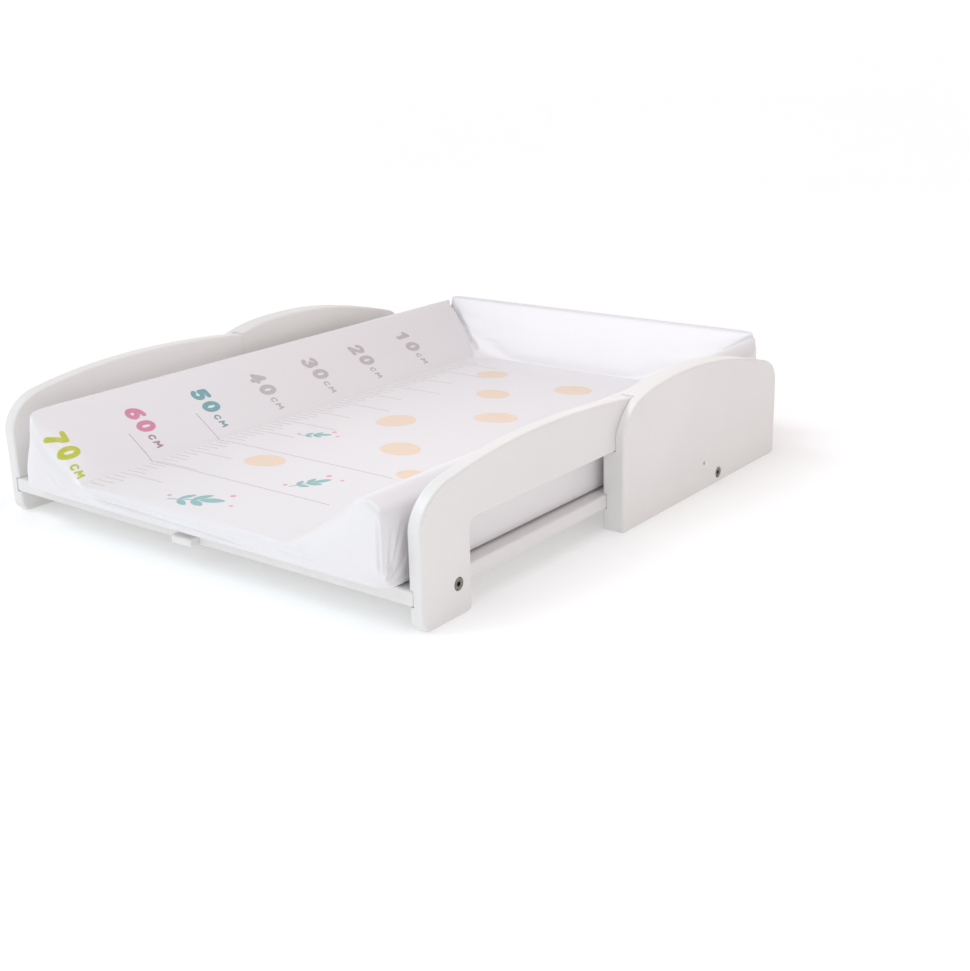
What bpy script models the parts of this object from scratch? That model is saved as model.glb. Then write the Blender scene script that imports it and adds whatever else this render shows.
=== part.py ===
"""Changing top: a low white tray that stands on a dresser and reaches over its
front edge, with a loose wedge-sided changing mat lying in it.

Millimetres in the named constants, metres in the scene. Lengths along Y are
counted from the base board's front edge; everything hangs from an empty that
brings the object's middle to the origin. +X is the right-hand side of someone
standing in front, +Y points to the wall, +Z is up, Z = 0 is the dresser top.
"""
import math
import bpy
import bmesh
from mathutils import Matrix, Vector

MM = 0.001

# ------------------------------------------------------------------ sizes (mm)
GAP = 0.3                   # play between two touching pieces

IN_HALF = 297.0             # half the clear width between the side panels
FRONT_T = 16.0              # thickness of the front side panels
REAR_T = 27.0               # thickness of the rear side panels
EDGE_R = 2.6                # rounding of the painted panel edges
GROOVE = 5.0                # depth of the grooves that carry the base board

BASE_HALF = IN_HALF + GROOVE
BASE_Z0, BASE_T = 25.0, 16.3
BASE_DEPTH = 683.0
BASE_Z1 = BASE_Z0 + BASE_T
BASE_MID = BASE_Z0 + BASE_T / 2

LEG_DEPTH = 73.0            # front leg, measured along Y
FOOT_R = 12.0
RAIL_Z0 = 91.5              # underside of the side rail
RAIL_END = 362.0            # rear end of the rail, inside the rear panel
NOTCH_R = 10.0              # inner corner between leg and rail
FRONT_NOSE_Z = 95.0         # where the leg's front edge starts to curve back
FRONT_NOSE_Y = 42.0
FRONT_NOSE_TOP = 138.5
FRONT_CROWN = (205.0, 153.3)
FRONT_TAIL_TOP = 143.4

REAR_Y0, REAR_Y1 = 324.5, 683.0
REAR_NOSE_Z, REAR_NOSE = 106.0, (353.0, 142.0)
REAR_CROWN = (462.0, 155.0)
REAR_DROP = (655.0, 125.0)
REAR_TAIL_Z = 92.0
REAR_FOOT_R = 5.0

BOLT_HEAD_R, BOLT_HEAD_H = 6.3, 5.6
BOLT_R = 3.0
BOLT_HOLE_R = 3.4
HEAD_HOLE_R = 6.8
HEX_AF = 5.0                # hexagon socket, across flats
LEG_BOLT_Y, LEG_BOLT_Z = 53.0, BASE_MID
REAR_BOLT_Y, REAR_BOLT_Z = 537.0, 12.5
NUT_R, NUT_H = 5.0, 12.0    # cross nuts the bolts pull on
NUT_IN = 30.0               # their distance from the wood's end
PIN_Y, PIN_R, PIN_LEN = 502.0, 1.6, 42.0

CROSS_Y0, CROSS_Y1 = 519.0, 555.0
CROSS_Z0, CROSS_Z1 = 0.5, BASE_Z0 - GAP
DOWEL_Y, DOWEL_R, DOWEL_LEN = 526.5, 4.0, 30.0

LUG_HALF, LUG_OUT, LUG_Z0, LUG_Z1 = 15.0, 12.0, 25.2, 34.5
LUG_X = -3.0
LUG_DOWEL_R, LUG_DOWEL_LEN = 3.0, 24.0

BRACKET_T, BRACKET_LEG, BRACKET_H = 2.0, 30.0, 18.0
BRACKET_Z0 = 3.5
SCREW_R, SCREW_HEAD_R, SCREW_LEN = 1.9, 3.8, 22.0
RAIL_SCREWS_Y = 344.0
RAIL_SCREWS_Z = (97.5, 110.5)

# the mat
MAT_X = 6.0                 # the loose mat lies a little to the right
MAT_Z0 = BASE_Z1 + 0.4
MAT_FLOOR_Z = 64.0
MAT_FOLD = 158.0            # half width of the lying surface
MAT_RIDGE = 258.0
MAT_RIDGE_Z = 132.5
MAT_HALF = 281.0
MAT_SHOULDER_Z = 119.0
MAT_Y0 = -22.0
MAT_FOLD_Y = 688.0
MAT_RIDGE_Y = 750.0
MAT_BACK_BOTTOM, MAT_BACK_TOP = 738.0, 752.0
MAT_SKIN = 0.9              # coated film with its fleece backing
VENT_R = 3.0                # air vents in the underside

MID_Y = (MAT_Y0 + MAT_BACK_TOP) / 2      # middle of the whole object along Y

# ------------------------------------------------------------------ clean start
for old in list(bpy.data.objects):
    bpy.data.objects.remove(old, do_unlink=True)


def collection(name):
    found = bpy.data.collections.get(name)
    if found is None:
        found = bpy.data.collections.new(name)
        bpy.context.scene.collection.children.link(found)
    return found


PARTS = collection("changing_top")
CUTTERS = collection("changing_top_cutters")

origin = bpy.data.objects.new("front_edge_frame", None)
origin.location = (0, -MID_Y * MM, 0)
PARTS.objects.link(origin)
mat_origin = bpy.data.objects.new("mat_lift_axis", None)
mat_origin.parent = origin
mat_origin.location = (MAT_X * MM, 0, MAT_Z0 * MM)
PARTS.objects.link(mat_origin)


# ------------------------------------------------------------------ materials
def material(name, colour, rough, metal=0.0):
    m = bpy.data.materials.get(name) or bpy.data.materials.new(name)
    m.use_nodes = True
    p = m.node_tree.nodes["Principled BSDF"]
    p.inputs["Base Color"].default_value = (*colour, 1)
    p.inputs["Roughness"].default_value = rough
    p.inputs["Metallic"].default_value = metal
    return m


PAINT = (0.86, 0.845, 0.825)
BOARD_UNDER = (0.80, 0.79, 0.77)
BRONZE = (0.11, 0.095, 0.075)
ZINC = (0.62, 0.62, 0.60)
BEECH = (0.68, 0.50, 0.32)
VINYL = (0.90, 0.885, 0.90)
FOAM = (0.92, 0.90, 0.80)


# ------------------------------------------------------------------ builders
def keep(ob, colour, rough, metal=0.0, parent=None):
    """Put a finished piece in its collection, with its own material and parent."""
    for c in list(ob.users_collection):
        c.objects.unlink(ob)
    PARTS.objects.link(ob)
    ob.data.materials.clear()
    ob.data.materials.append(material(ob.name, colour, rough, metal))
    ob.parent = parent or origin
    return ob


def cutter(ob):
    for c in list(ob.users_collection):
        c.objects.unlink(ob)
    CUTTERS.objects.link(ob)
    ob.hide_render = True
    ob.display_type = 'WIRE'
    ob.parent = origin
    return ob


def from_bmesh(name, bm):
    bmesh.ops.recalc_face_normals(bm, faces=bm.faces[:])
    me = bpy.data.meshes.new(name)
    bm.to_mesh(me)
    bm.free()
    ob = bpy.data.objects.new(name, me)
    bpy.context.scene.collection.objects.link(ob)
    return ob


def block(name, lo, hi):
    """A box between two corners given in mm; its origin is its middle."""
    lo, hi = Vector(lo) * MM, Vector(hi) * MM
    bm = bmesh.new()
    bmesh.ops.create_cube(bm, size=1.0)
    bmesh.ops.scale(bm, vec=hi - lo, verts=bm.verts)
    ob = from_bmesh(name, bm)
    ob.location = (lo + hi) / 2
    return ob


AXES = {'X': Matrix.Rotation(math.pi / 2, 3, 'Y'), 'Y': Matrix.Rotation(-math.pi / 2, 3, 'X'), 'Z': Matrix.Identity(3)}


def rod(name, r, length, middle, axis, sides=24, r2=None):
    """A cylinder, or a cone whose far end has the radius r2, along a world axis."""
    bm = bmesh.new()
    bmesh.ops.create_cone(bm, cap_ends=True, segments=sides, radius1=r * MM,
                          radius2=(r if r2 is None else r2) * MM, depth=length * MM)
    bmesh.ops.rotate(bm, cent=(0, 0, 0), matrix=AXES[axis], verts=bm.verts)
    ob = from_bmesh(name, bm)
    ob.location = Vector(middle) * MM
    return ob


def cut(ob, tool, kind='DIFFERENCE'):
    m = ob.modifiers.new(tool.name, 'BOOLEAN')
    m.operation = kind
    m.solver = 'EXACT'
    m.object = tool
    return m


def soften(ob, width, segments=2, angle=40):
    b = ob.modifiers.new("rounded_edges", 'BEVEL')
    b.width = width * MM
    b.segments = segments
    b.limit_method = 'ANGLE'
    b.angle_limit = math.radians(angle)
    b.harden_normals = False
    return b


def smooth(ob, angle=35):
    ob.data.shade_smooth()
    ob.data.set_sharp_from_angle(angle=math.radians(angle))


def turned(name, profile, place, axis, sides=24):
    """A solid of revolution from (radius, height) points in mm, top first."""
    me = bpy.data.meshes.new(name)
    me.from_pydata([(r * MM, 0, h * MM) for r, h in profile], [(i, i + 1) for i in range(len(profile) - 1)], [])
    ob = bpy.data.objects.new(name, me)
    bpy.context.scene.collection.objects.link(ob)
    s = ob.modifiers.new("turn", 'SCREW')
    s.angle = 2 * math.pi
    s.steps = s.render_steps = sides
    s.use_merge_vertices = True
    s.merge_threshold = 0.00002
    s.use_smooth_shade = True
    ob.rotation_euler = AXES[axis].to_euler()
    ob.location = Vector(place) * MM
    return ob


def arc(cy, cz, r, a0, a1, n):
    return [(cy + r * math.cos(math.radians(a0 + (a1 - a0) * i / n)),
             cz + r * math.sin(math.radians(a0 + (a1 - a0) * i / n))) for i in range(n + 1)]


def bezier(p0, p1, p2, p3, n):
    out = []
    for i in range(n + 1):
        t = i / n
        a, b, c, d = (1 - t) ** 3, 3 * t * (1 - t) ** 2, 3 * t * t * (1 - t), t ** 3
        out.append(tuple(a * p0[k] + b * p1[k] + c * p2[k] + d * p3[k] for k in (0, 1)))
    return out


def hermite(p0, s0, p1, s1, n):
    """A fair curve between two points with a slope at each, as a Bezier."""
    w = (p1[0] - p0[0]) / 3
    return bezier(p0, (p0[0] + w, p0[1] + w * s0), (p1[0] - w, p1[1] - w * s1), p1, n)


def tidy(points, least=0.4):
    out = []
    for p in points:
        if not out or math.dist(p, out[-1]) > least:
            out.append(p)
    if math.dist(out[0], out[-1]) < least:
        out.pop()
    return out


def board(name, outline, x_mid, thick, edge, colour=PAINT, rough=0.42):
    """A panel standing in the YZ plane: a flat outline, extruded and given
    rounded edges by the curve's own bevel, then made a mesh for cutting."""
    cu = bpy.data.curves.new(name, 'CURVE')
    cu.dimensions = '2D'
    cu.fill_mode = 'BOTH'
    cu.extrude = (thick / 2 - edge) * MM
    cu.bevel_depth = edge * MM
    cu.bevel_resolution = 1
    cu.offset = -edge * MM
    sp = cu.splines.new('POLY')
    sp.points.add(len(outline) - 1)
    for point, (y, z) in zip(sp.points, outline):
        point.co = (y * MM, z * MM, 0, 1)
    sp.use_cyclic_u = True
    flat = bpy.data.objects.new(name + "_outline", cu)
    bpy.context.scene.collection.objects.link(flat)
    flat.rotation_euler = (math.pi / 2, 0, math.pi / 2)
    flat.location = (x_mid * MM, 0, 0)
    bpy.context.view_layer.update()
    graph = bpy.context.evaluated_depsgraph_get()
    me = bpy.data.meshes.new_from_object(flat.evaluated_get(graph))
    bm = bmesh.new()
    bm.from_mesh(me)
    bmesh.ops.remove_doubles(bm, verts=bm.verts, dist=0.00002)
    bmesh.ops.dissolve_degenerate(bm, dist=0.00001, edges=bm.edges)
    bmesh.ops.recalc_face_normals(bm, faces=bm.faces)
    bm.to_mesh(me)
    bm.free()
    me.name = name
    ob = bpy.data.objects.new(name, me)
    bpy.context.scene.collection.objects.link(ob)
    ob.matrix_world = flat.matrix_world.copy()
    bpy.data.objects.remove(flat, do_unlink=True)
    return keep(ob, colour, rough)


def carve(name, planes, inset=0.0):
    """A solid bounded by planes: a cube trimmed by one knife cut for each
    (point, outward normal) in mm. inset moves every plane inwards."""
    bm = bmesh.new()
    bmesh.ops.create_cube(bm, size=4.0)
    for point, normal in planes:
        n = Vector(normal).normalized()
        co = Vector(point) * MM - n * inset * MM
        res = bmesh.ops.bisect_plane(bm, geom=bm.verts[:] + bm.edges[:] + bm.faces[:], dist=1e-7,
                                     plane_co=co, plane_no=n, clear_outer=True)
        rim = [g for g in res['geom_cut'] if isinstance(g, bmesh.types.BMEdge)]
        if rim:
            bmesh.ops.contextual_create(bm, geom=rim)
    return from_bmesh(name, bm)


# ------------------------------------------------------------------ side panels
def front_outline():
    pts = arc(FOOT_R, FOOT_R, FOOT_R, 180, 270, 6)
    pts += arc(LEG_DEPTH - 6, 6, 6, 270, 360, 4)
    pts += list(reversed(arc(LEG_DEPTH + NOTCH_R, RAIL_Z0 - NOTCH_R, NOTCH_R, 90, 180, 6)))
    pts += [(RAIL_END, RAIL_Z0), (RAIL_END, FRONT_TAIL_TOP)]
    crown = hermite((FRONT_NOSE_Y, FRONT_NOSE_TOP), 0.2, FRONT_CROWN, 0.0, 12)
    crown += hermite(FRONT_CROWN, 0.0, (RAIL_END, FRONT_TAIL_TOP), -0.115, 10)
    pts += list(reversed(crown))
    nose = bezier((0, FRONT_NOSE_Z), (0, FRONT_NOSE_Z + 20), (FRONT_NOSE_Y - 23, FRONT_NOSE_TOP - 5.2),
                  (FRONT_NOSE_Y, FRONT_NOSE_TOP), 10)
    pts += list(reversed(nose))
    return tidy(pts)


def rear_outline():
    pts = arc(REAR_Y0 + 3, 3, 3, 180, 270, 3)
    pts += arc(REAR_Y1 - REAR_FOOT_R, REAR_FOOT_R, REAR_FOOT_R, 270, 360, 4)
    tail = bezier((REAR_Y1, REAR_TAIL_Z), (REAR_Y1, REAR_TAIL_Z + 17), (REAR_DROP[0] + 17, REAR_DROP[1] - 4.6), REAR_DROP, 9)
    pts += tail
    top = hermite(REAR_NOSE, 0.33, REAR_CROWN, 0.0, 8) + hermite(REAR_CROWN, 0.0, REAR_DROP, -0.28, 10)
    pts += list(reversed(top))
    nose = bezier((REAR_Y0, REAR_NOSE_Z), (REAR_Y0 + 1, REAR_NOSE_Z + 11), (REAR_NOSE[0] - 14, REAR_NOSE[1] - 6.5), REAR_NOSE, 8)
    pts += list(reversed(nose))
    return tidy(pts)


def bolt(name, side, x_out, y, z, length, colour=BRONZE):
    """Socket-head furniture bolt lying along X; x_out is its head's outer face."""
    h, r, b = BOLT_HEAD_H, BOLT_HEAD_R, BOLT_R
    profile = [(0, 0), (r - 0.9, 0), (r, -0.9), (r, -h), (b, -h), (b, -length + 1.2), (b - 1.2, -length), (0, -length)]
    ob = turned(name, profile, (side * x_out, y, z), 'X', 24)
    if side < 0:
        ob.rotation_euler = Matrix.Rotation(-math.pi / 2, 3, 'Y').to_euler()
    socket = rod(name + "_socket", HEX_AF / 2 / math.cos(math.pi / 6), 8.0, (side * x_out, y, z), 'X', 6)
    cut(ob, cutter(socket))
    return keep(ob, colour, 0.38, 0.85)


def screw(name, tip_dir, head, axis_letter, length=SCREW_LEN):
    """Countersunk wood screw; head is the middle of its flush face."""
    r, hr = SCREW_R, SCREW_HEAD_R
    profile = [(0, 0), (hr, 0), (hr, -0.4), (r, -0.4 - (hr - r)), (r, -length + 4.0), (0.25, -length), (0, -length)]
    ob = turned(name, profile, head, axis_letter, 16)
    if tip_dir > 0:
        flip = {'X': Matrix.Rotation(-math.pi / 2, 3, 'Y'), 'Y': Matrix.Rotation(math.pi / 2, 3, 'X'),
                'Z': Matrix.Rotation(math.pi, 3, 'X')}[axis_letter]
        ob.rotation_euler = flip.to_euler()
    drive = rod(name + "_drive", 1.5, 3.0, head, axis_letter, 6)
    cut(ob, cutter(drive))
    return keep(ob, ZINC, 0.35, 0.9)


def cross_nut(name, place):
    """Cross nut: a short cylinder on Z, drilled through along X for its bolt."""
    ob = rod(name, NUT_R, NUT_H, place, 'Z', 24)
    cut(ob, cutter(rod(name + "_thread", BOLT_HOLE_R, 3 * NUT_R, place, 'X', 20)))
    smooth(ob)
    return keep(ob, ZINC, 0.35, 0.9)


base = block("base_board", (-BASE_HALF, 0, BASE_Z0), (BASE_HALF, BASE_DEPTH, BASE_Z1))
soften(base, 1.6, 2)
keep(base, PAINT, 0.42)

cross = block("cross_rail", (-IN_HALF + GAP, CROSS_Y0, CROSS_Z0), (IN_HALF - GAP, CROSS_Y1, CROSS_Z1))
keep(cross, BOARD_UNDER, 0.5)

lug = block("front_lug", (LUG_X - LUG_HALF, -GAP - LUG_OUT, LUG_Z0), (LUG_X + LUG_HALF, -GAP, LUG_Z1))
keep(lug, PAINT, 0.35)
lug_hole = cutter(rod("lug_dowel_hole", LUG_DOWEL_R + GAP, 2 * 13.0, (LUG_X, 0, LUG_Z0 + 4.6), 'Y', 20))
lug_hole.location.y = (5.0) * MM
soften(lug, 2.2, 3)
cut(lug, lug_hole)
cut(base, lug_hole)
keep(rod("lug_dowel", LUG_DOWEL_R, LUG_DOWEL_LEN, (LUG_X, 5.0, LUG_Z0 + 4.6), 'Y', 20), BEECH, 0.6)

for side, word in ((1, "right"), (-1, "left")):
    xin = IN_HALF
    front = board("front_panel_" + word, front_outline(), side * (xin + FRONT_T / 2), FRONT_T, EDGE_R)
    rear = board("rear_panel_" + word, rear_outline(), side * (xin + REAR_T / 2), REAR_T, EDGE_R)

    def span(x0, x1):
        return (min(side * x0, side * x1), max(side * x0, side * x1))

    # groove for the base board, right through both panels
    a, b = span(xin - 8, BASE_HALF + GAP)
    groove = cutter(block("groove_" + word, (a, -20, BASE_Z0 - GAP), (b, BASE_DEPTH + 20, BASE_Z1 + GAP)))
    cut(front, groove)
    cut(rear, groove)

    # recess in the rear panel that takes the rail's end
    a, b = span(xin - 8, xin + FRONT_T + GAP)
    recess = cutter(block("rail_recess_" + word, (a, REAR_Y0 - 30, RAIL_Z0 - GAP), (b, RAIL_END + GAP, 190)))
    cut(rear, recess)

    # bolt through the leg into the base board's edge
    x_leg = xin + FRONT_T - 0.6
    seat = x_leg - BOLT_HEAD_H - GAP
    a, b = span(seat, xin + FRONT_T + 6)
    head_hole = cutter(rod("leg_head_hole_" + word, HEAD_HOLE_R, b - a, ((a + b) / 2, LEG_BOLT_Y, LEG_BOLT_Z), 'X', 24))
    a, b = span(BASE_HALF - NUT_IN - 14, seat + 2)
    shank_hole = cutter(rod("leg_bolt_hole_" + word, BOLT_HOLE_R, b - a, ((a + b) / 2, LEG_BOLT_Y, LEG_BOLT_Z), 'X', 20))
    cut(front, head_hole)
    cut(front, shank_hole)
    cut(base, shank_hole)
    bolt("leg_bolt_" + word, side, x_leg, LEG_BOLT_Y, LEG_BOLT_Z, x_leg - (BASE_HALF - NUT_IN - 10))
    nut_x = side * (BASE_HALF - NUT_IN)
    nut_z = LEG_BOLT_Z
    cross_nut("leg_nut_" + word, (nut_x, LEG_BOLT_Y, nut_z))
    top = nut_z + NUT_H / 2 + GAP
    pocket = cutter(rod("leg_nut_pocket_" + word, NUT_R + GAP, top - (BASE_Z0 - 5), (nut_x, LEG_BOLT_Y, (top + BASE_Z0 - 5) / 2), 'Z', 24))
    cut(base, pocket)

    # bolt through the rear panel into the cross rail's end
    x_rear = xin + REAR_T - 1.2
    seat = x_rear - BOLT_HEAD_H - GAP
    a, b = span(seat, xin + REAR_T + 6)
    head_hole = cutter(rod("rear_head_hole_" + word, HEAD_HOLE_R, b - a, ((a + b) / 2, REAR_BOLT_Y, REAR_BOLT_Z), 'X', 24))
    a, b = span(xin - NUT_IN - 14, seat + 2)
    shank_hole = cutter(rod("rear_bolt_hole_" + word, BOLT_HOLE_R, b - a, ((a + b) / 2, REAR_BOLT_Y, REAR_BOLT_Z), 'X', 20))
    cut(rear, head_hole)
    cut(rear, shank_hole)
    cut(cross, shank_hole)
    bolt("rear_bolt_" + word, side, x_rear, REAR_BOLT_Y, REAR_BOLT_Z, x_rear - (xin - NUT_IN - 10))
    nut_x = side * (xin - NUT_IN)
    cross_nut("rear_nut_" + word, (nut_x, REAR_BOLT_Y, REAR_BOLT_Z))
    top = REAR_BOLT_Z + NUT_H / 2 + GAP
    pocket = cutter(rod("rear_nut_pocket_" + word, NUT_R + GAP, top + 5, (nut_x, REAR_BOLT_Y, (top - 5) / 2), 'Z', 24))
    cut(cross, pocket)

    # dowel beside that bolt, so that the rail cannot turn
    a, b = span(xin - DOWEL_LEN / 2 - GAP, xin + DOWEL_LEN / 2 + GAP)
    dowel_hole = cutter(rod("rail_dowel_hole_" + word, DOWEL_R + GAP, b - a, ((a + b) / 2, DOWEL_Y, REAR_BOLT_Z), 'X', 20))
    cut(rear, dowel_hole)
    cut(cross, dowel_hole)
    keep(rod("cross_rail_dowel_" + word, DOWEL_R, DOWEL_LEN, (side * xin, DOWEL_Y, REAR_BOLT_Z), 'X', 20), BEECH, 0.6)

    # pin driven through the rear panel into the base board's edge
    x_pin = xin + REAR_T - 2.0
    a, b = span(x_pin - PIN_LEN - GAP, xin + REAR_T + 6)
    pin_hole = cutter(rod("pin_hole_" + word, PIN_R + GAP, b - a, ((a + b) / 2, PIN_Y, BASE_MID), 'X', 16))
    cut(rear, pin_hole)
    cut(base, pin_hole)
    keep(rod("locating_pin_" + word, PIN_R, PIN_LEN, (side * (x_pin - PIN_LEN / 2), PIN_Y, BASE_MID), 'X', 16), ZINC, 0.4, 0.9)

    # two screws from the inside hold the rail's end in the recess
    for level, z in zip(("lower", "upper"), RAIL_SCREWS_Z):
        head_x = side * (xin + 0.3)
        name = "rail_screw_%s_%s" % (word, level)
        hole = turned(name + "_hole", [(0, 4.0), (SCREW_HEAD_R + GAP, 4.0), (SCREW_HEAD_R + GAP, -0.5), (SCREW_R + GAP, -0.5 - (SCREW_HEAD_R - SCREW_R)),
                                       (SCREW_R + GAP, -SCREW_LEN - GAP), (0, -SCREW_LEN - GAP)], (head_x, RAIL_SCREWS_Y, z), 'X', 16)
        if side > 0:
            hole.rotation_euler = Matrix.Rotation(-math.pi / 2, 3, 'Y').to_euler()
        cutter(hole)
        cut(front, hole)
        cut(rear, hole)
        screw(name, side, (head_x, RAIL_SCREWS_Y, z), 'X')

    # steel angle at the rear, under the base board, for the wall
    y_wall = BASE_DEPTH
    x_face = xin - GAP
    z0, z1 = BRACKET_Z0, BRACKET_Z0 + BRACKET_H
    a, b = span(x_face - BRACKET_LEG, x_face)
    angle = block("wall_bracket_" + word, (a, y_wall - BRACKET_LEG, z0), (b, y_wall, z1))
    a, b = span(x_face - BRACKET_LEG - 5, x_face - BRACKET_T)
    cut(angle, cutter(block("bracket_inside_" + word, (a, y_wall - BRACKET_LEG - 5, z0 - 5), (b, y_wall - BRACKET_T, z1 + 5))))
    cut(angle, cutter(rod("bracket_wall_hole_" + word, 2.6, 12, (side * (x_face - 20), y_wall, (z0 + z1) / 2), 'Y', 20)))
    keep(angle, ZINC, 0.4, 0.9)
    for k, y in enumerate((y_wall - 24.0, y_wall - 11.0)):
        name = "bracket_screw_%s_%s" % (word, ("front", "rear")[k])
        head_x = side * (x_face - BRACKET_T - 0.1)
        hole = turned(name + "_hole", [(0, 4.0), (SCREW_HEAD_R + GAP, 4.0), (SCREW_HEAD_R + GAP, -0.2), (SCREW_R + GAP, -0.2 - (SCREW_HEAD_R - SCREW_R)),
                                       (SCREW_R + GAP, -18.0 - GAP), (0, -18.0 - GAP)], (head_x, y, (z0 + z1) / 2), 'X', 16)
        if side > 0:
            hole.rotation_euler = Matrix.Rotation(-math.pi / 2, 3, 'Y').to_euler()
        cutter(hole)
        cut(angle, hole)
        cut(rear, hole)
        screw(name, side, (head_x, y, (z0 + z1) / 2), 'X', 18.0)

# ------------------------------------------------------------------ the mat
# Four compartments of one welded cover, each round its own piece of foam.
DOWN, UP = (0, 0, -1), (0, 0, 1)
HALF_GAP = 0.2
z0 = 0.0                                   # the mat's own underside
fz, rz, sz = MAT_FLOOR_Z - MAT_Z0, MAT_RIDGE_Z - MAT_Z0, MAT_SHOULDER_Z - MAT_Z0


def normal_2d(p, q):
    """Outward normal of a slanted face through two points of a section that
    is walked with the solid on its right-hand side."""
    return (-(q[1] - p[1]), q[0] - p[0])


slope = normal_2d((MAT_FOLD, fz), (MAT_RIDGE, rz))
shoulder = normal_2d((MAT_RIDGE, rz), (MAT_HALF, sz))
mitre = (MAT_RIDGE_Y - MAT_FOLD_Y, MAT_RIDGE - MAT_FOLD)       # across the corner line, in plan


def side_planes(side):
    return [
        ((0, 0, z0), DOWN),
        ((side * MAT_HALF, 0, 0), (side, 0, 0)),
        ((side * (MAT_FOLD + HALF_GAP), 0, 0), (-side, 0, 0)),
        ((side * MAT_FOLD, 0, fz), (side * slope[0], 0, slope[1])),
        ((side * MAT_RIDGE, 0, rz), (side * shoulder[0], 0, shoulder[1])),
        ((0, MAT_Y0, 0), (0, -1, 0)),
        ((0, MAT_BACK_BOTTOM, z0), (0, rz, -(MAT_BACK_TOP - MAT_BACK_BOTTOM))),
        ((side * (MAT_FOLD + HALF_GAP), MAT_FOLD_Y - HALF_GAP, 0), (-side * mitre[0], mitre[1], 0)),
    ]


back_slope = normal_2d((MAT_FOLD_Y, fz), (MAT_RIDGE_Y, rz))
back_planes = [
    ((0, 0, z0), DOWN),
    ((0, MAT_FOLD_Y + HALF_GAP, 0), (0, -1, 0)),
    ((0, MAT_FOLD_Y, fz), (0, back_slope[0], back_slope[1])),
    ((0, MAT_BACK_BOTTOM, z0), (0, rz, -(MAT_BACK_TOP - MAT_BACK_BOTTOM))),
    ((0, 0, rz), UP),
    ((MAT_FOLD - HALF_GAP, MAT_FOLD_Y + HALF_GAP, 0), (mitre[0], -mitre[1], 0)),
    ((-(MAT_FOLD - HALF_GAP), MAT_FOLD_Y + HALF_GAP, 0), (-mitre[0], -mitre[1], 0)),
]
floor_planes = [
    ((0, 0, z0), DOWN), ((0, 0, fz), UP),
    ((MAT_FOLD - HALF_GAP, 0, 0), (1, 0, 0)), ((-MAT_FOLD + HALF_GAP, 0, 0), (-1, 0, 0)),
    ((0, MAT_Y0, 0), (0, -1, 0)), ((0, MAT_FOLD_Y - HALF_GAP, 0), (0, 1, 0)),
]
compartments = {
    "floor": (floor_planes, [(-110, 60), (110, 600)]),
    "left": (side_planes(-1), [(-220, 120), (-220, 560)]),
    "right": (side_planes(1), [(220, 120), (220, 560)]),
    "back": (back_planes, [(-90, 712), (90, 712)]),
}
for word, (planes, vents) in compartments.items():
    cover = carve("mat_cover_" + word, planes)
    hollow = cutter(carve("hollow_" + word, planes, MAT_SKIN))
    hollow.parent = mat_origin
    cut(cover, hollow)
    for k, (x, y) in enumerate(vents):
        vent = cutter(rod("vent_%s_%d" % (word, k), VENT_R, 8.0, (x, y, 0), 'Z', 16))
        vent.parent = mat_origin
        cut(cover, vent)
    keep(cover, VINYL, 0.3, 0.0, mat_origin)
    foam = carve("mat_foam_" + word, planes, MAT_SKIN + GAP)
    keep(foam, FOAM, 0.9, 0.0, mat_origin)

bpy.context.view_layer.update()
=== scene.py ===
"""Looks of the changing top: painted panels and board, bolts, and the wedge-sided
changing mat with its film, welds, creases and plain centimetre ruler.

Numbers in the builders are millimetres in the object's own drawing frame: X to the
right, Y counted back from the base board's front edge, Z up from the surface that
the top stands on. MID_Y takes Y to the frame that the model is packed in.
"""

import math

import bmesh
import bpy
import numpy as np
from mathutils import Matrix, Vector
from mathutils.bvhtree import BVHTree


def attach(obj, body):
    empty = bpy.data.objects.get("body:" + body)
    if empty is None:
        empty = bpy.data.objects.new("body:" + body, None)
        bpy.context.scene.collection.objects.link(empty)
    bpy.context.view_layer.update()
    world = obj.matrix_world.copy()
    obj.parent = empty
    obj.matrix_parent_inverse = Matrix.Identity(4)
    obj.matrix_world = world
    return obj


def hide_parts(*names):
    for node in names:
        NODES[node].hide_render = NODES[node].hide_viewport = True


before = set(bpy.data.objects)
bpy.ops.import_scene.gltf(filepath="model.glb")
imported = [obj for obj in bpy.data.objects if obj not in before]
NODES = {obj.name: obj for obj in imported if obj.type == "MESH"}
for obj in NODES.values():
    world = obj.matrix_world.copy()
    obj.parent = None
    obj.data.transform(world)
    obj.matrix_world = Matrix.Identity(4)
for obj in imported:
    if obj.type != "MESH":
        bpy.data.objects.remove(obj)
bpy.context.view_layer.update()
MM = 0.001
MID_Y = 365.0

# ------------------------------------------------------------------ camera
CAM_AT = (1.071805, -1.242827, 0.533502)
CAM_RIGHT = (0.79392196, 0.60749982, -0.02513741)
CAM_DOWN = (0.17492478, -0.26780800, -0.94745987)
CAM_AHEAD = (-0.58231369, 0.74781204, -0.31888542)
cam_data = bpy.data.cameras.new("camera")
cam_data.sensor_fit = 'HORIZONTAL'
cam_data.sensor_width = 36.0
cam_data.lens = 36.0 * 1387.21 / 970.0
cam_data.clip_start, cam_data.clip_end = 0.05, 400.0
cam = bpy.data.objects.new("camera", cam_data)
bpy.context.scene.collection.objects.link(cam)
turn = Matrix((CAM_RIGHT, [-v for v in CAM_DOWN], [-v for v in CAM_AHEAD])).transposed()
cam.matrix_world = Matrix.Translation(CAM_AT) @ turn.to_4x4()
bpy.context.scene.camera = cam
bpy.context.scene.view_settings.view_transform = 'Standard'


# ------------------------------------------------------------------ materials
def new_material(name):
    m = bpy.data.materials.new(name)
    m.use_nodes = True
    nt = m.node_tree
    return m, nt, nt.nodes["Principled BSDF"]


def node(nt, kind, **values):
    n = nt.nodes.new(kind)
    for key, value in values.items():
        if key in n.inputs:
            n.inputs[key].default_value = value
        else:
            setattr(n, key, value)
    return n


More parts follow.
